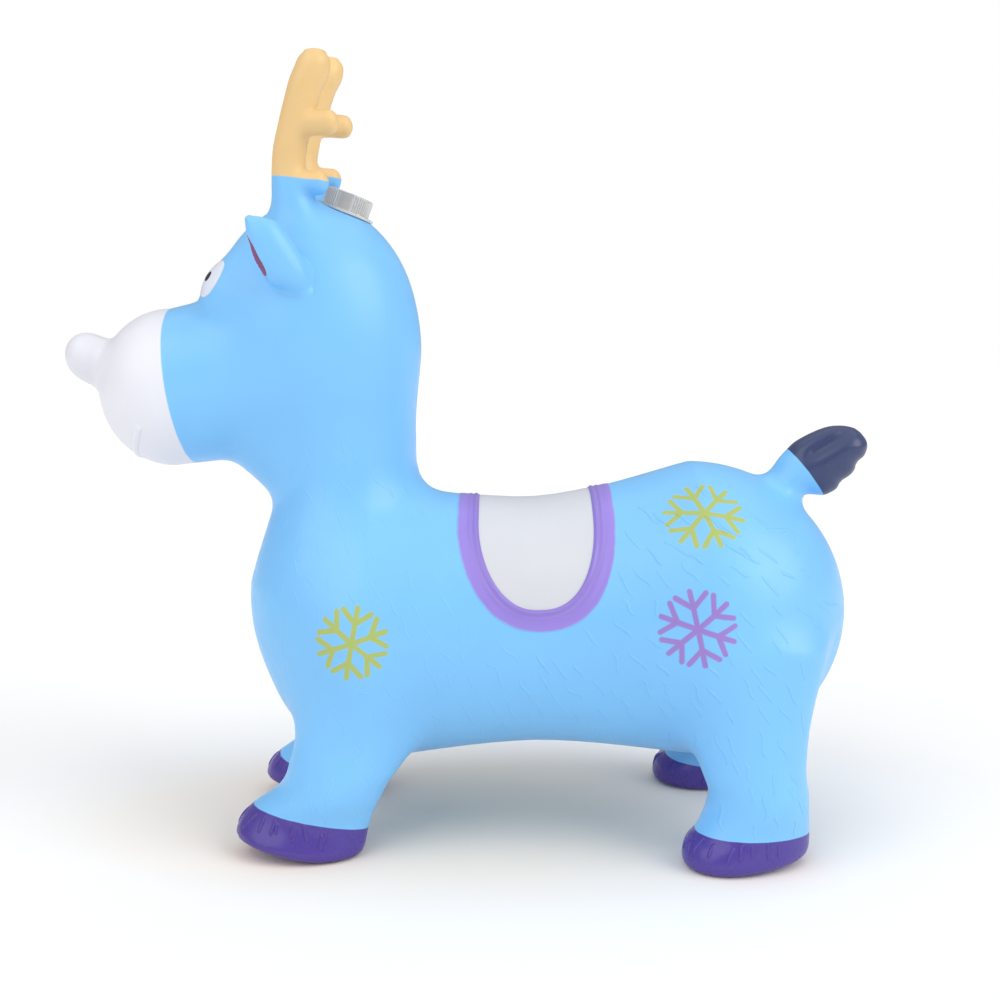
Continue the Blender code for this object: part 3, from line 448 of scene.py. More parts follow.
def ear_piece_field(points):
    """A half-moon leaf with a scooped front edge; its fillet sinks under the head where it runs out."""
    local = ear_local(points)
    ear = carried(local, 0, EAR_ROWS, EAR_DOMES)
    out = np.clip((ear - 0.35 * EAR_FILLET) / (0.6 * EAR_FILLET), 0.0, 1.0)
    head = field(points) + EAR_SINK * out * out * (3.0 - 2.0 * out)
    whole = joined(head, ear, EAR_FILLET)
    hollow = carried(local, 0, EAR_HOLLOW_ROWS, EAR_HOLLOW_DOMES)
    whole = cut_by(whole, -hollow, EAR_RIM_ROUND)
    return np.maximum(whole, ear - EAR_FILLET)


def closed_smoothed(outline, steps=5):
    """A closed outline on a smooth curve."""
    outline = np.asarray(outline, float)
    return spline([np.roll(outline, shift, 0) for shift in (1, 0, -1, -2)], steps)


def outline_field(flat, outline):
    """Signed distance in a plane to a closed outline: nearest side, negative inside."""
    start = outline
    end = np.roll(outline, -1, 0)
    side = end - start
    away = flat[:, None, :] - start[None]
    share = np.clip((away * side).sum(2) / (side * side).sum(1), 0.0, 1.0)
    gap = np.linalg.norm(away - share[..., None] * side, axis=2).min(1)
    above = (start[None, :, 1] > flat[:, None, 1]) != (end[None, :, 1] > flat[:, None, 1])
    rise = np.where(np.abs(side[:, 1]) < 1e-12, 1e-12, side[:, 1])
    cross = start[:, 0] + (flat[:, None, 1] - start[:, 1]) / rise * side[:, 0]
    inside = (above & (flat[:, None, 0] < cross)).sum(1) % 2 == 1
    return np.where(inside, -gap, gap)


def tail_field(points):
    """Distance to the tail: its side outline as a pillow with elliptic edges, thinner along a groove."""
    distance = np.full(len(points), TAIL_FAR_DISTANCE)
    near = (points[:, 0] > TAIL_REGION) & (points[:, 2] > TAIL_REGION)
    part = points[near]
    flat = outline_field(part[:, (0, 2)], TAIL_CURVE)
    depth = np.maximum(flat + TAIL_EDGE_WIDTH, 0.0)
    start = part[:, (0, 2)] - np.array(TAIL_GROOVE_START)
    along = start @ np.array(TAIL_GROOVE_WAY)
    beside = start @ np.array((-TAIL_GROOVE_WAY[1], TAIL_GROOVE_WAY[0]))
    groove = np.exp(-(beside / TAIL_GROOVE_HALF_WIDTH) ** 2)
    groove = groove * np.clip(along / TAIL_GROOVE_RUN_IN, 0.0, 1.0)
    thick = part[:, 1] * TAIL_EDGE_WIDTH / (TAIL_HALF_THICKNESS * (1.0 - TAIL_GROOVE_DEPTH * groove))
    distance[near] = np.sqrt(depth ** 2 + thick ** 2) - TAIL_EDGE_WIDTH
    return distance


TAIL_CURVE = closed_smoothed(TAIL_OUTLINE)


def field(points):
    """Distance to the moulding without its ears: every form joined with its fillet."""
    side = folded(points)
    body = carried(points, 0, TORSO_ROWS, TORSO_DOMES)
    body = joined(body, carried(points, 2, NECK_ROWS, NECK_DOMES), NECK_FILLET)
    for leg in ((FRONT_LEG_ROWS, FRONT_TOE, FRONT_SOLE), (REAR_LEG_ROWS, REAR_TOE, REAR_SOLE)):
        body = joined(body, leg_field(side, *leg), LEG_FILLET)
    head = ellipsoid(points - np.array(HEAD_CENTRE), HEAD_RADII)
    head = joined(head, carried(points, 0, MUZZLE_ROWS, MUZZLE_DOMES), MUZZLE_FILLET)
    head = joined(head, ellipsoid(points - np.array(THROAT_CENTRE), THROAT_RADII), THROAT_FILLET)
    for hand in (points, flipped(points)):
        head = joined(head, ellipsoid(hand - np.array(BROW_CENTRE), BROW_RADII), BROW_FILLET)
    knob = points - np.array(NOSE_CENTRE)
    knob[:, 2] += NOSE_TILT * knob[:, 0]
    head = joined(head, ellipsoid(knob, NOSE_RADII), NOSE_FILLET)
    body = joined(body, head, HEAD_FILLET)
    body = antlers_field(points, body)
    return joined(body, tail_field(points), TAIL_FILLET)


def slope(points, form=field, step=0.0003):
    """Slope of a field by central differences."""
    parts = []
    for axis in range(3):
        shift = np.zeros(3)
        shift[axis] = step
        parts.append((form(points + shift) - form(points - shift)) / (2.0 * step))
    return np.stack(parts, 1)


def settle(points, rounds=3, form=field):
    """Newton steps along the slope until the points lie on the form; returns normals too."""
    for _ in range(rounds):
        steep = slope(points, form)
        points = points - steep * (form(points) / np.maximum((steep ** 2).sum(1), 0.25))[:, None]
    return points, steep / np.maximum(np.linalg.norm(steep, axis=1), 1e-9)[:, None]


def cast(start, way, rounds=60):
    """Walk rays until the field is zero, each step as long as the field allows; returns a hit mask."""
    travel = np.zeros(len(start))
    for _ in range(rounds):
        travel += 0.8 * field(start + way * travel[:, None])
    points = start + way * travel[:, None]
    return points, np.abs(field(points)) < 0.0005


def surface_net(form, low, high, step):
    """Surface net of a field: one point per crossed cell, at the mean of its edge crossings."""
    coarse = 4
    low, high = np.array(low), np.array(high)
    count = np.ceil((high - low) / (step * coarse)).astype(int) + 1
    axes = [low[i] + step * coarse * np.arange(count[i]) for i in range(3)]
    rough = form(np.stack(np.meshgrid(*axes, indexing="ij"), -1).reshape(-1, 3)).reshape(count)
    value = rough.repeat(coarse, 0).repeat(coarse, 1).repeat(coarse, 2)
    near = np.argwhere(np.abs(value) < step * coarse * 2.2)
    value[tuple(near.T)] = form(low + step * near)
    inside = value < 0.0
    corners = [(i, j, k) for i in (0, 1) for j in (0, 1) for k in (0, 1)]
    size = [n - 1 for n in value.shape]
    total = sum(inside[i:i + size[0], j:j + size[1], k:k + size[2]].astype(np.int8)
                for i, j, k in corners)
    cells = np.argwhere((total > 0) & (total < 8))
    index = np.full(size, -1, np.int64)
    index[tuple(cells.T)] = np.arange(len(cells))
    place = np.zeros((len(cells), 3))
    crossings = np.zeros(len(cells))
    for one in corners:
        for two in corners:
            if sum(abs(a - b) for a, b in zip(one, two)) != 1 or one > two:
                continue
            first = value[tuple((cells + one).T)]
            second = value[tuple((cells + two).T)]
            crossed = (first < 0.0) != (second < 0.0)
            share = np.where(crossed, first / np.where(crossed, first - second, 1.0), 0.0)
            spot = np.array(one) + share[:, None] * (np.array(two) - np.array(one))
            place += spot * crossed[:, None]
            crossings += crossed
    verts = low + step * (cells + place / crossings[:, None])
    quads = []
    for axis in range(3):
        one, two = [i for i in range(3) if i != axis]
        upper = [slice(None)] * 3
        upper[axis] = slice(1, None)
        lower = [slice(None)] * 3
        lower[axis] = slice(None, -1)
        edges = np.argwhere(inside[tuple(lower)] != inside[tuple(upper)])
        edges = edges[(edges[:, one] > 0) & (edges[:, two] > 0)]
        back_1 = np.eye(3, dtype=int)[one]
        back_2 = np.eye(3, dtype=int)[two]
        ring = [edges - back_1 - back_2, edges - back_2, edges, edges - back_1]
        quad = np.stack([index[tuple(cell.T)] for cell in ring], 1)
        outward = inside[tuple(edges.T)] ^ (axis == 1)
        quads.append(np.where(outward[:, None], quad, quad[:, ::-1]))
    return verts, np.vstack(quads)


def relaxed(verts, quads, rounds, form=field):
    """Even out the net: each point moves half way to its neighbours' mean, then back on the form."""
    ends = np.vstack([quads[:, (i, (i + 1) % 4)] for i in range(4)])
    ends = np.vstack((ends, ends[:, ::-1]))
    degree = np.bincount(ends[:, 0], minlength=len(verts))
    for _ in range(rounds):
        mean = np.stack([np.bincount(ends[:, 0], verts[ends[:, 1], axis], len(verts))
                         for axis in range(3)], 1) / degree[:, None]
        verts, _ = settle(verts + 0.5 * (mean - verts), 1, form)
    return settle(verts, 2, form)[0]


# Mesh helpers


def make_piece(name, verts, faces, material, merge=0.0):
    """A mesh object at the origin from arrays of points and faces, with doubles merged if asked."""
    mesh = bpy.data.meshes.new(name)
    mesh.from_pydata(np.asarray(verts, float).tolist(), [], [list(map(int, f)) for f in faces])
    if merge > 0.0:
        work = bmesh.new()
        work.from_mesh(mesh)
        bmesh.ops.remove_doubles(work, verts=work.verts, dist=merge)
        bmesh.ops.recalc_face_normals(work, faces=work.faces)
        work.to_mesh(mesh)
        work.free()
    mesh.validate()
    mesh.update()
    item = bpy.data.objects.new(name, mesh)
    bpy.context.scene.collection.objects.link(item)
    if material is not None:
        mesh.materials.append(material)
    all_smooth(mesh)
    return item


def all_smooth(mesh, degrees=None):
    """Shade every face smooth, with edges kept sharp from an angle up if one is given."""
    mesh.polygons.foreach_set("use_smooth", np.full(len(mesh.polygons), True))
    if degrees is not None:
        mesh.set_sharp_from_angle(angle=math.radians(degrees))


def grid_faces(rows, columns, wrap_rows=False, wrap_columns=False, start=0):
    """Quads of a grid of points, row by row, wrapped where the surface closes on itself."""
    number = start + np.arange(rows * columns).reshape(rows, columns)
    if wrap_rows:
        number = np.vstack((number, number[:1]))
    if wrap_columns:
        number = np.hstack((number, number[:, :1]))
    return np.stack((number[:-1, :-1], number[:-1, 1:], number[1:, 1:], number[1:, :-1]),
                    -1).reshape(-1, 4)


def closed_sheet(top, bottom, wrap_columns=False):
    """Points and quads of a thin closed body between an upper and a lower grid of points."""
    rows, columns = top.shape[:2]
    upper = grid_faces(rows, columns, wrap_columns=wrap_columns)
    lower = grid_faces(rows, columns, wrap_columns=wrap_columns, start=rows * columns)[:, ::-1]
    number = np.arange(rows * columns).reshape(rows, columns)
    rims = [number[0], number[-1][::-1]]
    if not wrap_columns:
        rims += [number[::-1, 0], number[:, -1]]
    walls = []
    for rim in rims:
        if wrap_columns:
            rim = np.append(rim, rim[0])
        walls.append(np.stack((rim[1:], rim[:-1], rim[:-1] + rows * columns,
                               rim[1:] + rows * columns), 1))
    verts = np.vstack((top.reshape(-1, 3), bottom.reshape(-1, 3)))
    return verts, np.vstack([upper, lower] + walls)


def set_uv(item, values):
    """A UV map from one pair of values per point."""
    mesh = item.data
    layer = mesh.uv_layers.new(name="surface")
    corner = np.empty(len(mesh.loops), np.int32)
    mesh.loops.foreach_get("vertex_index", corner)
    layer.data.foreach_set("uv", np.asarray(values, np.float32)[corner].ravel())


def baked(item):
    """Apply the object's modifiers to its mesh."""
    graph = bpy.context.evaluated_depsgraph_get()
    mesh = bpy.data.meshes.new_from_object(item.evaluated_get(graph))
    old = item.data
    item.modifiers.clear()
    item.data = mesh
    bpy.data.meshes.remove(old)
    return item


def cut_out(item, cutter):
    """Cut a closed body out of the piece and drop the cutter."""
    modifier = item.modifiers.new("cut", "BOOLEAN")
    modifier.operation = "DIFFERENCE"
    modifier.solver = "EXACT"
    modifier.object = cutter
    baked(item)
    bpy.data.objects.remove(cutter)


def capsule_place(local):
    """Places in the frame of points given on the capsule's own axis."""
    cosine, sine = math.cos(CAPSULE_TILT), math.sin(CAPSULE_TILT)
    turn = np.array(((cosine, 0.0, sine), (0.0, 1.0, 0.0), (-sine, 0.0, cosine)))
    return CAPSULE_SEAT + local @ turn.T


def valve_place(local):
    """Places in the frame of points given on the valve's axis."""
    return VALVE_PLACE + local


def turned(name, profile, segments, place, material, ribs=None, closed=False):
    """A (radius, height) profile turned about an axis; ribs lowers the radius by angle and row."""
    profile = np.asarray(profile, float)
    angle = 2.0 * math.pi * np.arange(segments) / segments
    radius = np.repeat(profile[:, :1], segments, 1)
    if ribs is not None:
        radius = radius - ribs(angle)[None, :] * profile[:, 2:3]
    rings = np.stack((radius * np.cos(angle), radius * np.sin(angle),
                      np.repeat(profile[:, 1:2], segments, 1)), -1)
    faces = grid_faces(len(profile), segments, wrap_rows=closed, wrap_columns=True)
    return make_piece(name, place(rings.reshape(-1, 3)), faces, material, merge=1e-6)


# Shader helpers


class Nodes:
    """Small helper that adds nodes to a tree and links values or sockets to their inputs."""

    def __init__(self, tree):
        self.tree = tree

    def put(self, socket, value):
        """Link a socket or set a value."""
        if isinstance(value, bpy.types.NodeSocket):
            self.tree.links.new(value, socket)
        else:
            socket.default_value = value

    def add(self, kind, inputs=None, **settings):
        """Add one node with its settings and inputs."""
        node = self.tree.nodes.new(kind)
        for key, value in settings.items():
            setattr(node, key, value)
        for key, value in (inputs or {}).items():
            self.put(node.inputs[key], value)
        return node

    def math(self, operation, *values, clamp=False):
        """One Math node; returns its output."""
        node = self.add("ShaderNodeMath", dict(enumerate(values)), operation=operation, use_clamp=clamp)
        return node.outputs[0]

    def vector(self, operation, *values, out="Vector"):
        """One Vector Math node; returns its output."""
        node = self.add("ShaderNodeVectorMath", dict(enumerate(values)), operation=operation)
        return node.outputs[out]

    def times(self, one, two):
        """Product of two values."""
        return self.math("MULTIPLY", one, two)

    def dot(self, one, two):
        """Dot product of two vectors."""
        return self.vector("DOT_PRODUCT", one, two, out="Value")

    def hypot(self, one, two):
        """Root of the sum of two squares."""
        return self.math("SQRT", self.math("ADD", self.times(one, one), self.times(two, two)))

    def scaled(self, colour, tone):
        """A colour times a tone."""
        shaded = self.vector("SCALE", colour)
        self.put(shaded.node.inputs["Scale"], tone)
        return shaded

    def mix(self, share, one, two):
        """Mix two values by a share."""
        return self.add("ShaderNodeMix", {0: share, 2: one, 3: two}).outputs[0]

    def blend(self, share, one, two):
        """Mix two colours by a share."""
        node = self.add("ShaderNodeMix", data_type="RGBA")
        self.put(node.inputs[0], share)
        self.put(node.inputs[6], one)
        self.put(node.inputs[7], two)
        return node.outputs[2]

    def ramp(self, value, low, high, out_low=0.0, out_high=1.0):
        """A smooth step of a value between two limits."""
        node = self.add("ShaderNodeMapRange", {
            "Value": value, "From Min": low, "From Max": high, "To Min": out_low, "To Max": out_high},
            interpolation_type="SMOOTHSTEP")
        return node.outputs["Result"]

    def noise(self, vector, scale, detail=2.0, rough=0.5):
        """Value of a noise texture."""
        node = self.add("ShaderNodeTexNoise", {
            "Vector": vector, "Scale": scale, "Detail": detail, "Roughness": rough})
        return node.outputs[0]

    def waver(self, vector, scale):
        """Noise about zero."""
        return self.math("SUBTRACT", self.noise(vector, scale), 0.5)

    def place(self):
        """Object coordinates."""
        return self.add("ShaderNodeTexCoord").outputs["Object"]

    def group(self, name, inputs):
        """Place a node group with its inputs."""
        node = self.add("ShaderNodeGroup")
        node.node_tree = bpy.data.node_groups[name]
        for key, value in inputs.items():
            self.put(node.inputs[key], value)
        return node.outputs


def new_group(name, inputs, outputs):
    """A shader node group with named sockets; returns its helper, input node and output node."""
    tree = bpy.data.node_groups.new(name, "ShaderNodeTree")
    for label, kind, value in inputs:
        socket = tree.interface.new_socket(label, in_out="INPUT", socket_type=kind)
        if value is not None:
            socket.default_value = value
    for label, kind in outputs:
        tree.interface.new_socket(label, in_out="OUTPUT", socket_type=kind)
    nodes = Nodes(tree)
    return nodes, nodes.add("NodeGroupInput").outputs, nodes.add("NodeGroupOutput").inputs


FLOAT = "NodeSocketFloat"
VECTOR = "NodeSocketVector"
COLOUR = "NodeSocketColor"


def wear_group(name, gloss, *more):
    """A group that takes a place, a colour and a gloss, and gives colour, roughness and height."""
    return new_group(
        name, [("Vector", VECTOR, None), ("Colour", COLOUR, None), ("Gloss", FLOAT, gloss), *more],
        [("Colour", COLOUR), ("Roughness", FLOAT), ("Height", FLOAT)])


def put_wear(nodes, given, out, tone, uneven, height):
    """Fill a group of wear: the colour times a tone, the gloss made uneven, the height of the bump."""
    nodes.put(out["Colour"], nodes.scaled(given["Colour"], tone))
    nodes.put(out["Roughness"], nodes.math("ADD", given["Gloss"], uneven))
    nodes.put(out["Height"], height)


def make_groups():
    """Groups shared by the finishes: soft vinyl, worn metal, plastic, a paint line and a snowflake."""
    nodes, given, out = wear_group("soft_vinyl", 0.36)
    cloud = nodes.noise(given["Vector"], 9.0, 3.0)
    grain = nodes.noise(given["Vector"], 520.0, 2.0)
    peel = nodes.noise(given["Vector"], 120.0, 2.0)
    put_wear(nodes, given, out, nodes.ramp(cloud, 0.25, 0.75, 0.955, 1.03),
             nodes.ramp(peel, 0.2, 0.8, -0.05, 0.06),
             nodes.math("ADD", nodes.times(grain, 0.35), peel))

    nodes, given, out = wear_group("worn_metal", 0.3)
    smear = nodes.noise(given["Vector"], 300.0, 4.0, 0.6)
    put_wear(nodes, given, out, nodes.ramp(smear, 0.2, 0.8, 0.82, 1.05),
             nodes.ramp(smear, 0.2, 0.8, -0.08, 0.12), nodes.noise(given["Vector"], 2600.0, 2.0))

    nodes, given, out = wear_group("moulded_plastic", 0.3, ("Scale", FLOAT, 900.0))
    cloud = nodes.noise(given["Vector"], 140.0, 3.0)
    grain = nodes.noise(given["Vector"], given["Scale"], 2.0)
    put_wear(nodes, given, out, nodes.ramp(cloud, 0.2, 0.8, 0.93, 1.04),
             nodes.ramp(grain, 0.2, 0.8, -0.04, 0.06), grain)

    nodes, given, out = new_group("paint_line", [
        ("Vector", VECTOR, None), ("Normal", VECTOR, None), ("Offset", FLOAT, 0.0),
        ("Softness", FLOAT, 0.0004), ("Wobble", FLOAT, 0.0006)], [("Mask", FLOAT)])
    gap = nodes.math("SUBTRACT", nodes.dot(given["Vector"], given["Normal"]), given["Offset"])
    gap = nodes.math("MULTIPLY_ADD", nodes.waver(given["Vector"], 70.0), given["Wobble"], gap)
    nodes.put(out["Mask"], nodes.ramp(nodes.math("DIVIDE", gap, given["Softness"]), -1.0, 1.0))
    snowflake_group()


def snowflake_group():
    """Six spokes, each with a pair of straight branches: stroke width less the nearest distance."""
    nodes, given, out = new_group("snowflake", [
        ("Vector", VECTOR, None), ("Centre", VECTOR, None), ("Right", VECTOR, None),
        ("Up", VECTOR, None), ("Radius", FLOAT, 0.025), ("Turn", FLOAT, 0.0),
        ("Stroke", FLOAT, 0.0019), ("Softness", FLOAT, 0.0006)], [("Mask", FLOAT)])
    away = nodes.vector("SUBTRACT", given["Vector"], given["Centre"])
    right, up = (nodes.dot(away, given[key]) for key in ("Right", "Up"))
    reach = nodes.hypot(right, up)
    turn = nodes.math("ADD", nodes.math("ARCTAN2", right, up), given["Turn"])
    sector = math.pi / 3.0
    turn = nodes.math("ABSOLUTE", nodes.math("WRAP", turn, 0.5 * sector, -0.5 * sector))
    along = nodes.times(reach, nodes.math("COSINE", turn))
    across = nodes.times(reach, nodes.math("SINE", turn))
    past = nodes.math("MAXIMUM", nodes.math("SUBTRACT", along, given["Radius"]), 0.0)
    spoke = nodes.hypot(past, across)
    fork = nodes.math("SUBTRACT", along, nodes.times(given["Radius"], BRANCH_START))
    cosine, sine = math.cos(BRANCH_ANGLE), math.sin(BRANCH_ANGLE)
    run = nodes.math("ADD", nodes.times(fork, cosine), nodes.times(across, sine))
    run = nodes.math("MINIMUM", nodes.math("MAXIMUM", run, 0.0), nodes.times(given["Radius"], BRANCH_LENGTH))
    branch = nodes.hypot(nodes.math("SUBTRACT", fork, nodes.times(run, cosine)),
                         nodes.math("SUBTRACT", across, nodes.times(run, sine)))
    gap = nodes.math("SUBTRACT", given["Stroke"], nodes.math("MINIMUM", spoke, branch))
    gap = nodes.math("MULTIPLY_ADD", nodes.waver(given["Vector"], 60.0), 0.0008, gap)
    nodes.put(out["Mask"], nodes.ramp(nodes.math("DIVIDE", gap, given["Softness"]), -1.0, 1.0))


def finish(name):
    """A new material; returns it, its node helper and its Principled shader."""
    material = bpy.data.materials.new(name)
    material.use_nodes = True
    nodes = Nodes(material.node_tree)
    return material, nodes, material.node_tree.nodes["Principled BSDF"]


def wear(nodes, shader, group, vector, colour, gloss, bump, distance=0.0002, **more):
    """Feed colour, roughness and a bump from a shared group into the shader."""
    made = nodes.group(group, {"Vector": vector, "Colour": colour, "Gloss": gloss, **more})
    nodes.put(shader.inputs["Base Color"], made["Colour"])
    nodes.put(shader.inputs["Roughness"], made["Roughness"])
    node = nodes.add("ShaderNodeBump", {"Strength": bump, "Distance": distance, "Height": made["Height"]})
    nodes.put(shader.inputs["Normal"], node.outputs["Normal"])


def rgba(colour):
    """A colour property with full alpha."""
    return (*colour, 1.0)


FLAKES = (
    ("flake_yellow", (-0.0784, 0.0980, 0.1626), (1.0, 0.0, 0.0), (0.0, 0.0, 1.0), 0.0245, -10.0),
    ("flake_purple", (0.1580, 0.1080, 0.1745), (1.0, 0.0, 0.0), (0.0, 0.0, 1.0), 0.0258, 12.0),
    ("flake_yellow", (0.1660, 0.0720, 0.2500), (1.0, 0.0, 0.0), (0.0, -0.62, 0.78), 0.0270, 20.0),
)
FLAKE_COVER = 0.88
BRANCH_START = 0.56
BRANCH_LENGTH = 0.52
BRANCH_ANGLE = math.radians(50.0)
PAINT_LINES = (
    ("muzzle", (-1.0, 0.0, -0.137), 0.1645, 0.40),
    ("antler", (0.105, 0.0, 1.0), 0.4690, 0.40),
    ("tail", (0.7858, 0.0, 0.6185), 0.3657, 0.30),
)
BODY_GLOSS = 0.36
HOOF_GLOSS = 0.27
LINING_START = 0.009
LINING_RUN = 0.046
LINING_SHARES = (0.30, 0.93)
LINING_SCALE = 0.02
LINING_STEPS = 9


def ear_lining(nodes, side):
    """Share of lining paint: full inside the ear's hollow, whose centre and radii are curves of its run."""
    away = nodes.vector("SUBTRACT", side, tuple(EAR_ROOT))
    run, wide, deep = (nodes.dot(away, tuple(axis)) for axis in EAR_AXES)
    share = nodes.math("DIVIDE", nodes.math("SUBTRACT", run, LINING_START), LINING_RUN)
    steps = np.linspace(0.0, 1.0, LINING_STEPS)
    rows = smoothed(EAR_HOLLOW_ROWS)
    held = []
    for column in (1, 2, 3, 4):
        curve = nodes.add("ShaderNodeFloatCurve", {"Value": share})
        line = curve.mapping.curves[0]
        size = np.interp(LINING_START + LINING_RUN * steps, rows[:, 0], rows[:, column]) / LINING_SCALE
        line.points[0].location = (steps[0], size[0])
        line.points[-1].location = (steps[-1], size[-1])
        for at, high in zip(steps[1:-1], size[1:-1]):
            line.points.new(at, high)
        curve.mapping.use_clip = False
        curve.mapping.update()
        held.append(nodes.times(curve.outputs[0], LINING_SCALE))
    across = nodes.math("DIVIDE", nodes.math("SUBTRACT", wide, held[0]), held[2])
    through = nodes.math("DIVIDE", nodes.math("SUBTRACT", deep, held[1]), held[3])
    reach = nodes.math("ADD", nodes.times(across, across), nodes.times(through, through))
    near = nodes.times(nodes.math("GREATER_THAN", share, LINING_SHARES[0]),
                      nodes.math("LESS_THAN", share, LINING_SHARES[1]))
    return nodes.times(nodes.ramp(reach, 1.30, 1.12), near)


def skin_finish(colours):
    """Blue vinyl with its sprayed zones: muzzle, antlers, hooves, tail tip, ear linings, snowflakes."""
    material, nodes, shader = finish("painted_vinyl")
    place = nodes.place()
    parts = nodes.add("ShaderNodeSeparateXYZ", {"Vector": place}).outputs
    aside = nodes.math("ABSOLUTE", parts["Y"])
    side = nodes.add("ShaderNodeCombineXYZ", {"X": parts["X"], "Y": aside, "Z": parts["Z"]}).outputs[0]
    colour = rgba(colours.body)

    flank = nodes.ramp(aside, 0.030, 0.036)
    for key, centre, right, up, radius, turn in FLAKES:
        mask = nodes.group("snowflake", {
            "Vector": side, "Centre": centre, "Right": right, "Up": up, "Radius": radius,
            "Turn": math.radians(turn)})["Mask"]
        mask = nodes.times(nodes.times(mask, flank), FLAKE_COVER)
        colour = nodes.blend(mask, colour, rgba(getattr(colours, key)))

    gloss = BODY_GLOSS
    for key, normal, offset, shine in PAINT_LINES:
        if key == "antler":
            over = nodes.ramp(parts["Y"], -0.004, 0.004, 0.0, RIGHT_ANTLER_RAISE)
            offset = nodes.math("ADD", over, offset)
        mask = nodes.group("paint_line", {"Vector": place, "Normal": normal, "Offset": offset})["Mask"]
        colour = nodes.blend(mask, colour, rgba(getattr(colours, key)))
        gloss = nodes.mix(mask, gloss, shine)

    front, rear = (nodes.math("ADD", offset, nodes.dot(side, (lengthwise, sideways, 0.0)))
                   for lengthwise, sideways, offset in (FRONT_HOOF_LINE, REAR_HOOF_LINE))
    line = nodes.mix(nodes.math("GREATER_THAN", parts["X"], 0.05), front, rear)
    wave = nodes.times(nodes.waver(place, 70.0), 0.0008)
    above = nodes.math("ADD", nodes.math("SUBTRACT", parts["Z"], line), wave)
    hoof = nodes.ramp(above, 0.0004, -0.0004)
    colour = nodes.blend(hoof, colour, rgba(colours.hoof))
    gloss = nodes.mix(hoof, gloss, HOOF_GLOSS)
    colour = nodes.blend(ear_lining(nodes, side), colour, rgba(colours.ear))

    grain = nodes.ramp(gloss, 0.25, 0.36, 0.02, 0.10)
    wear(nodes, shader, "soft_vinyl", place, colour, gloss, grain)
    shader.inputs["Specular IOR Level"].default_value = 0.45
    return material


def vinyl_finish(name, colour, gloss=0.36, bump=0.10):
    """One painted vinyl colour with cloudy tone, fine grain and uneven gloss."""
    material, nodes, shader = finish(name)
    wear(nodes, shader, "soft_vinyl", nodes.place(), rgba(colour), gloss, bump)
    return material


def welt_finish(colours):
    """Purple spray that fades to the body colour at the outer edge of the welt."""
    material, nodes, shader = finish("welt_paint")
    place = nodes.place()
    across = nodes.add("ShaderNodeSeparateXYZ", {
        "Vector": nodes.add("ShaderNodeUVMap", uv_map="surface").outputs[0]}).outputs["Y"]
    ragged = nodes.times(nodes.waver(place, 90.0), 0.10)
    mask = nodes.ramp(nodes.math("ADD", across, ragged), 0.99, 0.86)
    deep = nodes.ramp(across, 0.75, 0.20, 1.0, 0.90)
    colour = nodes.blend(mask, rgba(colours.body), nodes.scaled(tuple(colours.welt), deep))
    wear(nodes, shader, "soft_vinyl", place, colour, 0.34, 0.10)
    return material


def painted_rib_and_window_shade(nodes, place, count):
    """Share of painted shade: full in the grooves between the grip ribs and over the two plain windows, by
    the angle round the cap's axis.
    """
    away = nodes.vector("SUBTRACT", place, tuple(CAPSULE_SEAT))
    forward = (math.cos(CAPSULE_TILT), 0.0, -math.sin(CAPSULE_TILT))
    ahead, aside = (nodes.dot(away, axis) for axis in (forward, (0.0, 1.0, 0.0)))
    turn = nodes.math("ARCTAN2", aside, ahead)
    reach = nodes.hypot(ahead, aside)
    groove = nodes.ramp(nodes.math("COSINE", nodes.times(turn, float(count))), 0.55, -0.60)
    wall = nodes.ramp(reach, 0.0160, 0.0163)
    window = nodes.ramp(nodes.math("ABSOLUTE", nodes.math("SINE", turn)), 0.915, 0.985)
    ribbed = nodes.times(groove, nodes.math("SUBTRACT", 1.0, window))
    return nodes.times(nodes.math("MAXIMUM", ribbed, window), wall)


def clear_finish(name, colour, rough, ribs=0):
    """Clear plastic gone cloudy: partly clear, partly white and scuffed; with ribs, painted shade darkens its
    grooves and windows.
    """
    material, nodes, shader = finish(name)
    place = nodes.place()
    shade = rgba(colour)
    if ribs:
        # Painted shade: the cap's colour darkens in the rib grooves and over the plain windows
        painted_dark = tuple(PAINTED_SHADE_TONE * part for part in colour)
        shade = nodes.blend(painted_rib_and_window_shade(nodes, place, ribs), shade, rgba(painted_dark))
    wear(nodes, shader, "moulded_plastic", place, shade, rough, 0.04, Scale=1400.0)
    shader.inputs["Transmission Weight"].default_value = 0.34
    shader.inputs["IOR"].default_value = 1.49
    return material


# Pieces


def ride(item, body, slot, *nodes):
    """Tie a piece to its body and hide the CAD nodes it stands for. Its finish slot is not used."""
    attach(item, body)
    if nodes:
        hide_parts(*nodes)


def on_skin(item):
    """Tie a piece of relief or paint to the skin's body."""
    ride(item, "skin_body", "blue_vinyl")


def build_skin(sizes, colours):
    """The moulding as a surface net with the capsule's well and the valve hole cut; ears as finer nets."""
    verts, quads = surface_net(field, *SKIN_BOX, sizes.grid_step)
    verts = relaxed(verts, quads, 3)
    paint = skin_finish(colours)
    skin = make_piece("deer_skin", verts, quads, paint)
    well = [
        (0.0, -0.0253), (0.0156, -0.0253), (0.0156, 0.0), (0.0223, 0.0), (0.0226, 0.0025),
        (0.0236, 0.0250), (0.0, 0.0250)]
    cut_out(skin, turned("well_cut", well, 96, capsule_place, None))
    sleeve = [
        (0.0, -0.0200), (0.0130, -0.0200), (0.0118, -0.0030), (0.0118, 0.0), (0.0046, 0.0),
        (0.0046, 0.0150), (0.0, 0.0150)]
    cut_out(skin, turned("sleeve_cut", sleeve, 48, valve_place, None))
    all_smooth(skin.data, 38.0)
    ride(skin, "skin_body", "blue_vinyl", "skin")
    verts, quads = surface_net(ear_piece_field, *EAR_BOX, EAR_GRID)
    verts = relaxed(verts, quads, 2, ear_piece_field)
    for hand, label in HANDS:
        faces = quads if hand > 0.0 else quads[:, ::-1]
        on_skin(make_piece(f"ear_{label}", verts * np.array((1.0, hand, 1.0)), faces, paint))


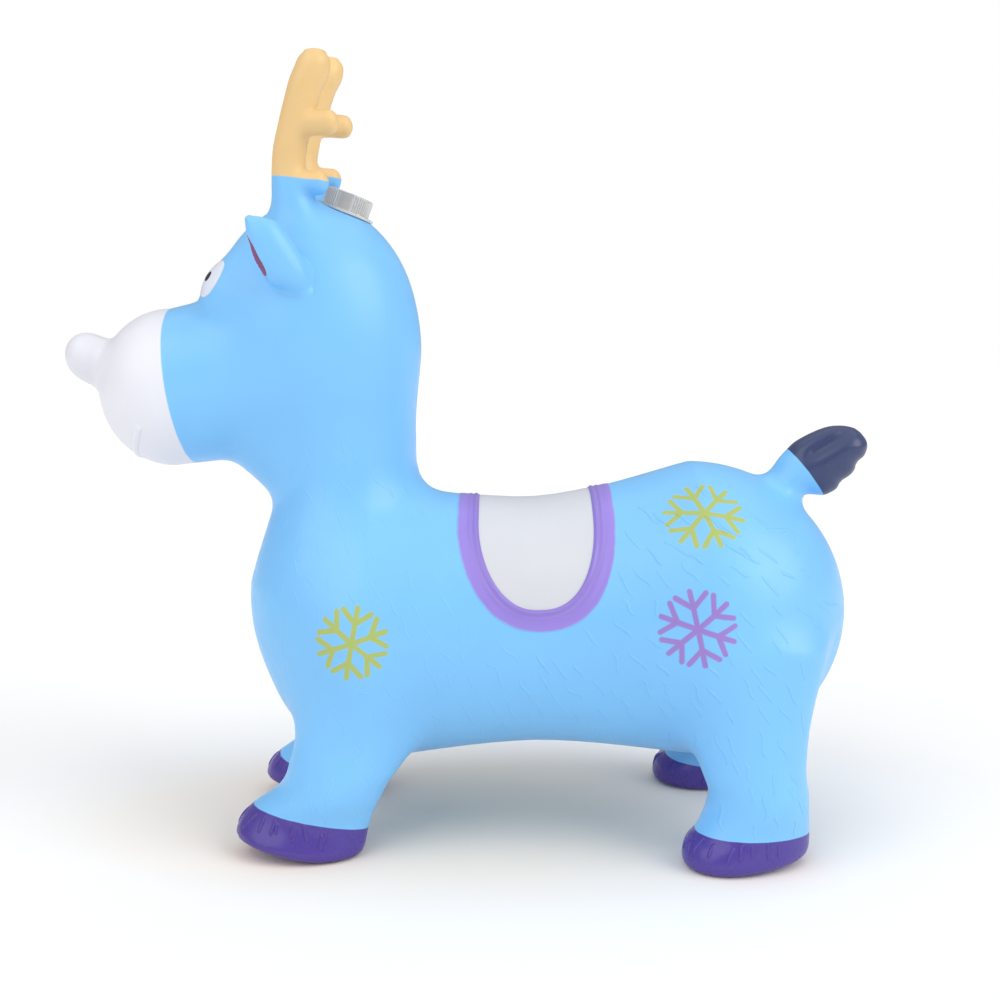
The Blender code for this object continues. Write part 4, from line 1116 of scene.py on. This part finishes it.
def saddle_outline(sizes, inset, count):
    """Closed outline of the saddle in length and angle: straight sides, superellipse ends."""
    middle = 0.5 * (sizes.saddle_front + sizes.saddle_rear)
    half = 0.5 * (sizes.saddle_rear - sizes.saddle_front) - inset
    flap = sizes.saddle_drop - sizes.saddle_straight - inset / TORSO_RADIUS
    turn = np.linspace(-0.5 * math.pi, 0.5 * math.pi, 60)
    power = np.where(turn < 0.0, *SADDLE_POWERS)
    round_x = np.sign(np.sin(turn)) * np.abs(np.sin(turn)) ** power * half
    round_t = np.abs(np.cos(turn)) ** power * flap + sizes.saddle_straight
    side = np.linspace(1.0, -1.0, 40)[1:-1] * sizes.saddle_straight
    level = np.full(len(side), half)
    x = np.concatenate((round_x, level, round_x[::-1], -level))
    t = np.concatenate((round_t, side, -round_t[::-1], -side))
    step = np.hypot(np.diff(np.append(x, x[0])), TORSO_RADIUS * np.diff(np.append(t, t[0])))
    length = np.append(0.0, np.cumsum(step))
    even = np.linspace(0.0, length[-1], count, endpoint=False)
    return np.stack((middle + np.interp(even, length, np.append(x, x[0])),
                     np.interp(even, length, np.append(t, t[0]))), 1)


def on_torso(plan):
    """Points of the moulding above places given as length and angle round the torso's axis."""
    shape = plan.shape[:-1]
    plan = plan.reshape(-1, 2)
    middle = np.stack((plan[:, 0], np.zeros(len(plan)), np.full(len(plan), TORSO_AXIS_Z)), 1)
    way = np.stack((np.zeros(len(plan)), -np.sin(plan[:, 1]), np.cos(plan[:, 1])), 1)
    points, hit = cast(middle + TORSO_CAST_REACH * way, -way)
    if not hit.all():
        raise RuntimeError("the saddle misses the skin")
    points, normals = settle(points, 2)
    return points.reshape(*shape, 3), normals.reshape(*shape, 3)


def build_saddle(sizes, colours):
    """Saddle pad and its welt, laid on the moulding and lifted along its normals."""
    count = 320
    outer = saddle_outline(sizes, 0.0, count)
    inner = saddle_outline(sizes, sizes.welt_width, count)
    share = np.linspace(0.0, 1.0, 29)
    points, normals = on_torso(inner + (outer - inner) * share[:, None, None])
    bead = np.exp(-((share - 0.15) / 0.085) ** 2)
    second = np.exp(-((share - 0.40) / 0.075) ** 2)
    flat = 0.42 * np.clip((1.0 - share) / 0.25, 0.0, 1.0) ** 0.8
    lift = sizes.welt_height * (0.75 * bead + 0.40 * second + flat) + 0.0001 - 0.0004 * (share > 0.995)
    top = points + normals * lift[:, None, None]
    bottom = points - normals * RELIEF_SINK
    verts, faces = closed_sheet(top, bottom, wrap_columns=True)
    welt = make_piece("saddle_welt", verts, faces, welt_finish(colours))
    around = np.broadcast_to(np.arange(count) / count, (len(share), count))
    pair = np.stack((around, np.broadcast_to(share[:, None], around.shape)), -1).reshape(-1, 2)
    set_uv(welt, np.vstack((pair, pair)))
    on_skin(welt)

    turn = 0.5 * math.pi * np.linspace(-1.0, 1.0, 141)
    reach = sizes.saddle_drop - (sizes.welt_width - SADDLE_OVERLAP) / TORSO_RADIUS
    level = np.sin(turn) * reach
    half = 0.5 * (sizes.saddle_rear - sizes.saddle_front) - sizes.welt_width + SADDLE_OVERLAP
    past = np.clip((np.abs(level) - sizes.saddle_straight) / (reach - sizes.saddle_straight), 0.0, 1.0)
    ahead, behind = (half * np.maximum(1.0 - past ** (2.0 / power), 0.0) ** (power / 2.0)
                     for power in SADDLE_POWERS)
    across = np.sin(0.5 * math.pi * np.linspace(-1.0, 1.0, 61))
    middle = 0.5 * (sizes.saddle_front + sizes.saddle_rear)
    width = np.where(across < 0.0, ahead[:, None], behind[:, None])
    plan = np.stack(np.broadcast_arrays(middle + width * across, level[:, None]), -1)
    points, normals = on_torso(plan)
    soft = np.sqrt(np.clip(1.0 - np.abs(across) ** 14, 0.0, 1.0)) * np.sqrt(
        np.clip(1.0 - (np.abs(level) / reach) ** 60, 0.0, 1.0))[:, None]
    top = points + normals * (0.0001 + 0.0009 * soft)[..., None]
    bottom = points - normals * RELIEF_SINK
    verts, faces = closed_sheet(top, bottom)
    cover = vinyl_finish("pad_paint", colours.pad, 0.40, 0.12)
    on_skin(make_piece("saddle_pad", verts, faces, cover, merge=1e-6))


def face_patch(name, hand, centre, radii, lift, crown, material):
    """An oval laid on the moulding: rays along the gaze from an ellipse, lifted into a low crown."""
    gaze = unit(np.array(GAZE) * (1.0, hand, 1.0))
    across = unit(np.cross(gaze, (0.0, 0.0, 1.0)))
    upward = np.cross(across, gaze)
    share = np.linspace(0.02, 1.0, 16)[:, None]
    turn = np.linspace(0.0, 2.0 * math.pi, 64, endpoint=False)[None, :]
    start = (np.array(centre) * (1.0, hand, 1.0) + 0.05 * gaze
             + (share * np.cos(turn))[..., None] * radii[0] * across
             + (share * np.sin(turn))[..., None] * radii[1] * upward)
    points, _ = cast(start.reshape(-1, 3), np.broadcast_to(-gaze, (start.size // 3, 3)))
    points, normals = settle(points, 1)
    high = (lift + crown * (1.0 - share ** 2) - lift * 0.8 * (share > 0.99)) * np.ones_like(turn)
    top = (points + normals * high.reshape(-1, 1)).reshape(start.shape)
    bottom = (points - normals * RELIEF_SINK).reshape(start.shape)
    verts, faces = closed_sheet(top, bottom, wrap_columns=True)
    on_skin(make_piece(name, verts, faces, material, merge=1e-5))


def build_eyes(colours):
    """White of the eye and pupil on each brow."""
    white = vinyl_finish("eye_paint", colours.eye, 0.22, 0.05)
    black = vinyl_finish("pupil_paint", colours.pupil, 0.18, 0.05)
    for hand, side in HANDS:
        face_patch(f"eye_white_{side}", hand, EYE_CENTRE, EYE_RADII, 0.0003, 0.0005, white)
        face_patch(f"eye_pupil_{side}", hand, PUPIL_CENTRE, PUPIL_RADII, 0.0010, 0.0003, black)


def build_mouth(colours):
    """Smile bead: a flat rope laid round the underside of the muzzle, with rounded ends."""
    angle = np.sin(0.5 * math.pi * np.linspace(-1.0, 1.0, 141))
    turn = angle * MOUTH_HALF_ANGLE
    way = np.stack((np.zeros_like(turn), np.sin(turn), -np.cos(turn)), 1)
    middle = np.stack((MOUTH_PLACE[0] + MOUTH_BOW * angle ** 2, np.zeros_like(turn),
                       np.full_like(turn, MOUTH_PLACE[1])), 1)
    points, _ = cast(middle + MOUTH_CAST_REACH * way, -way)
    points, normals = settle(points, 2)
    run = np.gradient(points, axis=0)
    run /= np.linalg.norm(run, axis=1)[:, None]
    side = np.cross(run, normals)
    ending = np.clip((np.abs(angle) - MOUTH_END_START) / MOUTH_END_RUN, 0.0, 1.0)
    radius = MOUTH_RADIUS * np.sqrt(1.0 - ending ** 2) + 1e-5
    ring = np.linspace(0.0, 2.0 * math.pi, 20, endpoint=False)
    upward = np.cos(ring)[None, :, None] * normals[:, None] * MOUTH_FLATNESS
    sideways = np.sin(ring)[None, :, None] * side[:, None]
    tube = points[:, None] + radius[:, None, None] * (upward + sideways) - normals[:, None] * MOUTH_SINK
    faces = grid_faces(len(points), len(ring), wrap_columns=True)
    ends = [np.arange(len(ring)), np.arange(len(ring))[::-1] + (len(points) - 1) * len(ring)]
    paint = vinyl_finish("mouth_paint", colours.muzzle)
    on_skin(make_piece("mouth_bead", tube.reshape(-1, 3), [*faces, *ends], paint, merge=1e-6))


def strokes(name, centre, way, axis_along, axis_across, length, width, height, bend, material):
    """Raised strokes on the moulding: short S-curved strips whose section is a low parabola."""
    along = np.linspace(-0.5, 0.5, 9)
    across = np.linspace(-1.0, 1.0, 5)
    swing = np.sin(2.0 * math.pi * along) * 0.5
    run = centre[:, None, :] + length[:, None, None] * along[None, :, None] * axis_along[:, None, :]
    run = run + (bend[:, None] * swing[None, :])[..., None] * axis_across[:, None, :]
    thin = np.sqrt(np.clip(1.0 - (2.0 * along) ** 4, 0.02, 1.0))
    grid = run[:, :, None, :] + (width[:, None, None] * thin[None, :, None] * across)[..., None] * (
        axis_across[:, None, None, :])
    rays = np.broadcast_to(way[:, None, None, :], grid.shape)
    points, hit = cast(grid.reshape(-1, 3), rays.reshape(-1, 3), 40)
    normals = slope(points)
    normals /= np.maximum(np.linalg.norm(normals, axis=1), 1e-9)[:, None]
    facing = -(normals * rays.reshape(-1, 3)).sum(1)
    good = (hit & (facing > STROKE_FACING)).reshape(len(centre), -1).all(1)
    rise = height[:, None, None] * (thin ** 2)[None, :, None] * (1.0 - across ** 2)
    top = (points + normals * (rise - 0.00004).reshape(-1, 1)).reshape(grid.shape)[good]
    bottom = (points - normals * STROKE_SINK).reshape(grid.shape)[good]
    sheet, faces = closed_sheet(top[0], bottom[0])
    number = len(sheet)
    verts = np.concatenate((top.reshape(len(top), -1, 3), bottom.reshape(len(top), -1, 3)), 1)
    faces = (faces[None] + number * np.arange(len(top))[:, None, None]).reshape(-1, 4)
    on_skin(make_piece(name, verts.reshape(-1, 3), faces, material))


def hair_lean(x, z):
    """Angle of a hair stroke below the level: steep on legs and chest, flat on the upper rump."""
    lean = 58.0 + 22.0 * np.clip((0.125 - z) / 0.05, 0.0, 1.0)
    lean = lean - 26.0 * np.clip((z - 0.17) / 0.06, 0.0, 1.0) * np.clip((x - 0.08) / 0.06, 0.0, 1.0)
    lean = lean + 30.0 * np.clip((-0.06 - x) / 0.08, 0.0, 1.0)
    return np.radians(lean)


def build_hair(sizes):
    """Fine moulded hair over the body and folds on the hooves, in the skin's own paint."""
    dice = np.random.default_rng(11)
    material = bpy.data.materials["painted_vinyl"]
    body_hair(sizes, dice, material)
    hoof_folds(dice, material)


def body_hair(sizes, dice, material):
    """Scattered strokes on both flanks, clear of the saddle and the snowflakes."""
    gap = sizes.stroke_spacing
    x, z = np.meshgrid(np.arange(*HAIR_FIELD[0], gap), np.arange(*HAIR_FIELD[1], gap * 1.15))
    x = (x + 0.5 * gap * (np.arange(len(x)) % 2)[:, None]).ravel()
    z = z.ravel()
    x = x + dice.uniform(-HAIR_SCATTER, HAIR_SCATTER, x.size) * gap
    z = z + dice.uniform(-HAIR_SCATTER, HAIR_SCATTER, z.size) * gap
    keep = ~((x < -0.045) & (z > 0.300)) & ~((z > 0.265) & (x > -0.045))
    middle = 0.5 * (sizes.saddle_front + sizes.saddle_rear)
    half = 0.5 * (sizes.saddle_rear - sizes.saddle_front) + 0.008
    keep &= ~((np.abs(x - middle) < half) & (z > TORSO_AXIS_Z + 0.075 * ((x - middle) / half) ** 4))
    for _, centre, _, _, radius, _ in FLAKES[:2]:
        keep &= np.hypot(x - centre[0], z - centre[2]) > radius + 0.004
    x, z = x[keep], z[keep]
    lean = hair_lean(x, z) + dice.normal(0.0, 0.16, x.size)
    length = dice.uniform(0.011, 0.0240, x.size)
    bend = dice.uniform(-0.0034, 0.0034, x.size)
    rise = sizes.stroke_height * np.clip(0.70 + (x - 0.06) / 0.20, 0.32, 1.0) * dice.uniform(0.6, 1.1, x.size)
    zero = np.zeros_like(x)
    run = np.stack((np.cos(lean), zero, -np.sin(lean)), 1)
    side = np.stack((np.sin(lean), zero, np.cos(lean)), 1)
    for hand, label in HANDS:
        centre = np.stack((x, np.full_like(x, HAIR_START * hand), z), 1)
        way = np.broadcast_to(np.array((0.0, -hand, 0.0)), centre.shape)
        strokes(f"hair_{label}", centre, way, run, side, length, np.full_like(x, HAIR_HALF_WIDTH), rise,
                bend, material)


def hoof_folds(dice, material):
    """Upright folds round each hoof, most of them at its front half."""
    upright = np.array((0.0, 0.0, 1.0))
    for label, row, line in (("front", FRONT_LEG_ROWS[2], FRONT_HOOF_LINE),
                             ("rear", REAR_LEG_ROWS[2], REAR_HOOF_LINE)):
        turn = np.radians(np.concatenate((np.linspace(60.0, 175.0, 10), np.linspace(205.0, 300.0, 3))))
        turn = turn + dice.uniform(-0.10, 0.10, turn.size)
        out = np.stack((np.cos(turn), np.sin(turn), np.zeros_like(turn)), 1)
        place = np.array((row[1], row[2])) + np.array((row[3], row[4])) * out[:, :2]
        high = place @ np.array(line[:2]) + line[2] - dice.uniform(0.005, 0.010, turn.size)
        size = dice.uniform(0.009, 0.015, turn.size)
        tilt = dice.normal(0.0, 0.18, turn.size)
        level = np.stack((-out[:, 1], out[:, 0], np.zeros_like(turn)), 1)
        run = np.cos(tilt)[:, None] * upright + np.sin(tilt)[:, None] * level
        side = np.cos(tilt)[:, None] * level - np.sin(tilt)[:, None] * upright
        middle = np.array((row[1], row[2], 0.0))
        start = middle + FOLD_START * out + high[:, None] * upright
        bend = dice.uniform(-0.0016, 0.0016, turn.size)
        for hand, end in HANDS:
            places = [part * np.array((1.0, hand, 1.0)) for part in (start, -out, run, side)]
            strokes(f"hoof_folds_{label}_{end}", *places, size, np.full_like(turn, FOLD_HALF_WIDTH),
                    np.full_like(turn, FOLD_HEIGHT), bend, material)


def thread_rows(radius, swell, low, high, count):
    """Rows of a threaded wall: its radius grows by the swell once in every pitch of height."""
    height = np.linspace(low, high, count)
    wave = np.clip(np.cos(2.0 * math.pi * height / THREAD_PITCH), 0.0, 1.0)
    return np.stack((radius + swell * wave, height, np.zeros_like(height)), 1)


def build_capsule(sizes, colours):
    """Ribbed clear cap with two plain windows, and the clear housing with its flange and thread."""
    clear = clear_finish("clear_cap", colours.clear, 0.09, sizes.rib_count)
    segments = sizes.rib_count * 8

    def ribs(angle):
        """Rib grooves round the cap; full depth inside the two plain windows."""
        groove = (0.5 - 0.5 * np.cos(sizes.rib_count * angle)) ** 0.7
        window = np.abs(np.remainder(angle, math.pi) - 0.5 * math.pi)
        share = np.clip((WINDOW_HALF_ANGLE - window) / math.radians(2.0), 0.0, 1.0)
        return RIB_DEPTH * (groove * (1.0 - share) + share)

    rim = np.linspace(0.0, 0.5 * math.pi, 9)
    rounded = np.stack((0.0156 + 0.0018 * np.cos(rim), 0.0132 + 0.0018 * np.sin(rim),
                        np.clip(1.0 - 1.6 * rim, 0.0, 1.0)), 1)
    inner = thread_rows(0.0156, -0.00015, 0.0126, 0.0036, 46)
    profile = np.vstack((
        (0.0159, 0.0028, 0.0), (0.0170, 0.0028, 0.0), (0.0173, 0.0029, 0.2), (0.0174, 0.0032, 0.6),
        (0.0174, 0.0037, 1.0), (0.0174, 0.0085, 1.0), (0.0174, 0.0125, 1.0), rounded,
        (0.0151, 0.0149, 0.0), (0.0146, 0.0146, 0.0), (0.0142, 0.0144, 0.0), (0.0105, 0.0144, 0.0),
        (0.0102, 0.0145, 0.0), (0.0098, 0.0144, 0.0), (0.0, 0.0144, 0.0), (0.0, 0.0132, 0.0),
        (0.0150, 0.0132, 0.0), (0.0156, 0.0129, 0.0), inner))
    cap = turned("cap_shell", profile, segments, capsule_place, clear, ribs, closed=True)
    all_smooth(cap.data, 40.0)
    ride(cap, "cap_body", "clear_cap_plastic", "capsule_cap")

    def notches(angle):
        """Small notches in the flange."""
        near = np.abs(np.remainder(angle * FLANGE_NOTCHES / (2.0 * math.pi) + 0.5, 1.0) - 0.5)
        return 0.0007 * np.clip((0.035 - near) / 0.01, 0.0, 1.0)

    outside = thread_rows(0.0150, 0.00018, 0.0040, 0.0105, 34)
    profile = np.vstack((
        (0.0, -0.0250, 0.0), (0.0140, -0.0250, 0.0), (0.0149, -0.0246, 0.0), (0.0152, -0.0238, 0.0),
        (0.0152, -0.0010, 0.0), (0.0154, 0.0003, 0.0), (0.0206, 0.0003, 0.5), (0.0213, 0.0004, 1.0),
        (0.0215, 0.0008, 1.0), (0.0215, 0.0019, 1.0), (0.0213, 0.0024, 1.0), (0.0208, 0.0025, 1.0),
        (0.0203, 0.0023, 0.5), (0.0200, 0.0019, 0.0), (0.0184, 0.0019, 0.0), (0.0180, 0.0021, 0.0),
        (0.0156, 0.0021, 0.0), (0.0151, 0.0026, 0.0), outside, (0.0151, 0.0112, 0.0),
        (0.0148, 0.0115, 0.0), (0.0138, 0.0115, 0.0), (0.0136, 0.0113, 0.0), (0.0136, -0.0150, 0.0),
        (0.0124, -0.0150, 0.0), (0.0124, -0.0234, 0.0), (0.0, -0.0234, 0.0)))
    housing = turned("housing_shell", profile, 180, capsule_place,
                     clear_finish("clear_housing", colours.clear, 0.14), notches)
    for index in range(GRILLE_HOLES):
        turn = 2.0 * math.pi * (index + 0.07) / GRILLE_HOLES
        spot = np.array((0.0060 * math.cos(turn), 0.0060 * math.sin(turn), 0.0))
        hole = [(0.0, -0.0300), (0.0011, -0.0300), (0.0011, -0.0180), (0.0, -0.0180)]
        cut_out(housing, turned("grille_cut", hole, 20, lambda local: capsule_place(local + spot), None))
    all_smooth(housing.data, 35.0)
    ride(housing, "capsule_body", "clear_plastic", "capsule_housing")


PLASTIC, METAL = "moulded_plastic", "worn_metal"
NODE_FINISHES = {
    "air_plug": (PLASTIC, (232, 234, 238), 0.38, 0.15),
    "cap_seal": (PLASTIC, (34, 34, 37), 0.62, 0.20),
    "circuit_board": (PLASTIC, (34, 120, 66), 0.42, 0.25),
    "lamp_1": (PLASTIC, (222, 60, 52), 0.18, 0.05),
    "lamp_2": (PLASTIC, (56, 96, 228), 0.18, 0.05),
    "lamp_3": (PLASTIC, (58, 196, 92), 0.18, 0.05),
    "sound_chip": (PLASTIC, (26, 26, 28), 0.36, 0.25),
    "shake_switch": (METAL, (196, 198, 202), 0.30, 0.10),
    "battery_tray": (PLASTIC, (48, 48, 52), 0.52, 0.25),
    **{f"button_cell_{number}": (METAL, (206, 208, 212), 0.28, 0.10) for number in (1, 2, 3)},
    "battery_contact_plate": (METAL, (222, 188, 110), 0.30, 0.10),
    "speaker_frame": (PLASTIC, (38, 38, 41), 0.70, 0.35),
    "speaker_magnet": (METAL, (150, 152, 156), 0.38, 0.15),
    "speaker_lead_red": (PLASTIC, (200, 44, 38), 0.50, 0.15),
    "speaker_lead_black": (PLASTIC, (36, 36, 38), 0.50, 0.15),
    **{f"board_screw_{number}": (METAL, (190, 192, 196), 0.34, 0.12) for number in (1, 2)},
}


def dress_nodes():
    """Give each carried-over CAD piece a procedural finish of its own kind."""
    for name, (group, shade, gloss, bump) in NODE_FINISHES.items():
        material, nodes, shader = finish(f"{name}_finish")
        wear(nodes, shader, group, nodes.place(), rgba(linear(*shade)), gloss, bump, 0.0001)
        shader.inputs["Metallic"].default_value = float(group == METAL)
        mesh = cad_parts[name].data
        mesh.materials.clear()
        mesh.materials.append(material)


def sun_light(name, place, angle, power):
    """One broad soft light from a direction."""
    data = bpy.data.lights.new(name, "SUN")
    data.energy = power
    data.angle = angle
    lamp = bpy.data.objects.new(name, data)
    bpy.context.scene.collection.objects.link(lamp)
    lamp.location = place
    lamp.rotation_euler = Vector(place).to_track_quat("Z", "Y").to_euler()


def build_floor(stage):
    """White floor that keeps the shadow, with a warm tint painted under the toy to cancel the blue light that
    the body throws on it.
    """
    material, nodes, shader = finish("floor_white")
    place = nodes.place()
    tone = nodes.ramp(nodes.noise(place, 6.0), 0.2, 0.8, stage.floor, stage.floor + 0.006)
    # Painted light: a warm tint under the toy cancels the blue light that the body throws into its shadow
    flat = nodes.vector("MULTIPLY", place, (*(1.0 / reach for reach in FLOOR_TINT_REACH), 0.0))
    warm = nodes.ramp(nodes.vector("LENGTH", flat, out="Value"), 1.10, 0.35)
    shares = [nodes.times(tone, nodes.math("SUBTRACT", 1.0, nodes.times(warm, drop)))
              for drop in FLOOR_TINT_DROPS]
    colour = nodes.add("ShaderNodeCombineColor", dict(enumerate(shares)))
    nodes.put(shader.inputs["Base Color"], colour.outputs[0])
    shader.inputs["Roughness"].default_value = 1.0
    shader.inputs["Specular IOR Level"].default_value = 0.0
    corners = np.array(((-1.0, -1.0, 0.0), (1.0, -1.0, 0.0), (1.0, 1.0, 0.0), (-1.0, 1.0, 0.0)))
    corners = corners * FLOOR_REACH - (0.0, 0.0, FLOOR_DROP)
    make_piece("studio_floor", corners, np.array(((0, 1, 2, 3),)), material)


def build_light(stage):
    """Even room light that the camera sees as white, and three soft lights."""
    world = bpy.data.worlds.new("studio")
    bpy.context.scene.world = world
    world.use_nodes = True
    nodes = Nodes(world.node_tree)
    sky = world.node_tree.nodes["Background"]
    seen = nodes.add("ShaderNodeLightPath").outputs
    view = nodes.math("ADD", seen["Is Camera Ray"], seen["Is Transmission Ray"], clamp=True)
    nodes.put(sky.inputs["Color"], (1.0, 1.0, 1.0, 1.0))
    level = nodes.mix(seen["Is Glossy Ray"], stage.fill, GLOSSY_ROOM)
    nodes.put(sky.inputs["Strength"], nodes.mix(view, level, 1.0))
    sun_light("left_light", (-0.80, -0.75, 0.80), math.radians(55.0), stage.left)
    sun_light("right_light", (1.00, -0.50, 0.65), math.radians(45.0), stage.right)
    sun_light("top_light", (0.00, 0.05, 1.0), math.radians(80.0), stage.top)


def build_camera(stage):
    """Camera at the photograph's place, with plain display colours."""
    scene = bpy.context.scene
    scene.view_settings.view_transform = "Standard"
    data = bpy.data.cameras.new("photo_camera")
    data.lens = stage.lens
    data.sensor_width = 36.0
    data.sensor_fit = "HORIZONTAL"
    data.clip_start = 0.01
    data.clip_end = 50.0
    camera = bpy.data.objects.new("photo_camera", data)
    scene.collection.objects.link(camera)
    camera.location = (stage.camera_x, stage.camera_y, stage.camera_z)
    camera.rotation_euler = (0.5 * math.pi - stage.camera_pitch, 0.0, 0.0)
    scene.camera = camera


# Operators


class DEER_OT_groups(bpy.types.Operator):
    """Make the shader groups that the finishes share."""

    bl_idname = "deer.groups"
    bl_label = "Shared finishes"

    def execute(self, context):
        """Build the groups."""
        make_groups()
        return {"FINISHED"}


class DEER_OT_skin(bpy.types.Operator):
    """Build the painted skin."""

    bl_idname = "deer.skin"
    bl_label = "Skin"

    def execute(self, context):
        """Build the moulding."""
        build_skin(context.scene.deer_sizes, context.scene.deer_colours)
        return {"FINISHED"}


class DEER_OT_saddle(bpy.types.Operator):
    """Build the saddle pad and its welt."""

    bl_idname = "deer.saddle"
    bl_label = "Saddle"

    def execute(self, context):
        """Build pad and welt."""
        build_saddle(context.scene.deer_sizes, context.scene.deer_colours)
        return {"FINISHED"}


class DEER_OT_face(bpy.types.Operator):
    """Build the eyes and the mouth."""

    bl_idname = "deer.face"
    bl_label = "Face"

    def execute(self, context):
        """Build eyes and mouth."""
        build_eyes(context.scene.deer_colours)
        build_mouth(context.scene.deer_colours)
        return {"FINISHED"}


class DEER_OT_hair(bpy.types.Operator):
    """Build the moulded hair and hoof folds."""

    bl_idname = "deer.hair"
    bl_label = "Moulded hair"

    def execute(self, context):
        """Build the strokes."""
        build_hair(context.scene.deer_sizes)
        return {"FINISHED"}


class DEER_OT_capsule(bpy.types.Operator):
    """Build the light-and-sound capsule."""

    bl_idname = "deer.capsule"
    bl_label = "Capsule"

    def execute(self, context):
        """Build cap and housing, and finish the pieces inside."""
        build_capsule(context.scene.deer_sizes, context.scene.deer_colours)
        dress_nodes()
        return {"FINISHED"}


class DEER_OT_stage(bpy.types.Operator):
    """Build the floor, the light and the camera."""

    bl_idname = "deer.stage"
    bl_label = "Stage"

    def execute(self, context):
        """Build floor, light and camera."""
        build_floor(context.scene.deer_stage)
        build_light(context.scene.deer_stage)
        build_camera(context.scene.deer_stage)
        return {"FINISHED"}


STEPS = (
    DEER_OT_groups, DEER_OT_skin, DEER_OT_saddle, DEER_OT_face, DEER_OT_hair, DEER_OT_capsule,
    DEER_OT_stage)


class DEER_PT_panel(bpy.types.Panel):
    """Sidebar panel with every step and its values."""

    bl_idname = "DEER_PT_panel"
    bl_label = "Hopping Deer"
    bl_space_type = "VIEW_3D"
    bl_region_type = "UI"
    bl_category = "Deer"

    def draw(self, context):
        """List the steps, then the values."""
        for step in STEPS:
            self.layout.operator(step.bl_idname)
        for values in (context.scene.deer_sizes, context.scene.deer_colours, context.scene.deer_stage):
            box = self.layout.box()
            for key in values.__annotations__:
                box.prop(values, key)


CLASSES = (DeerSizes, DeerColours, DeerStage, *STEPS, DEER_PT_panel)


def register():
    """Register the classes and their values."""
    for item in CLASSES:
        bpy.utils.register_class(item)
    bpy.types.Scene.deer_sizes = PointerProperty(type=DeerSizes)
    bpy.types.Scene.deer_colours = PointerProperty(type=DeerColours)
    bpy.types.Scene.deer_stage = PointerProperty(type=DeerStage)


def unregister():
    """Remove the values and the classes."""
    del bpy.types.Scene.deer_stage
    del bpy.types.Scene.deer_colours
    del bpy.types.Scene.deer_sizes
    for item in reversed(CLASSES):
        bpy.utils.unregister_class(item)


def main():
    """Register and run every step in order."""
    register()
    bpy.ops.deer.groups()
    bpy.ops.deer.skin()
    bpy.ops.deer.saddle()
    bpy.ops.deer.face()
    bpy.ops.deer.hair()
    bpy.ops.deer.capsule()
    bpy.ops.deer.stage()


if __name__ == "__main__":
    main()
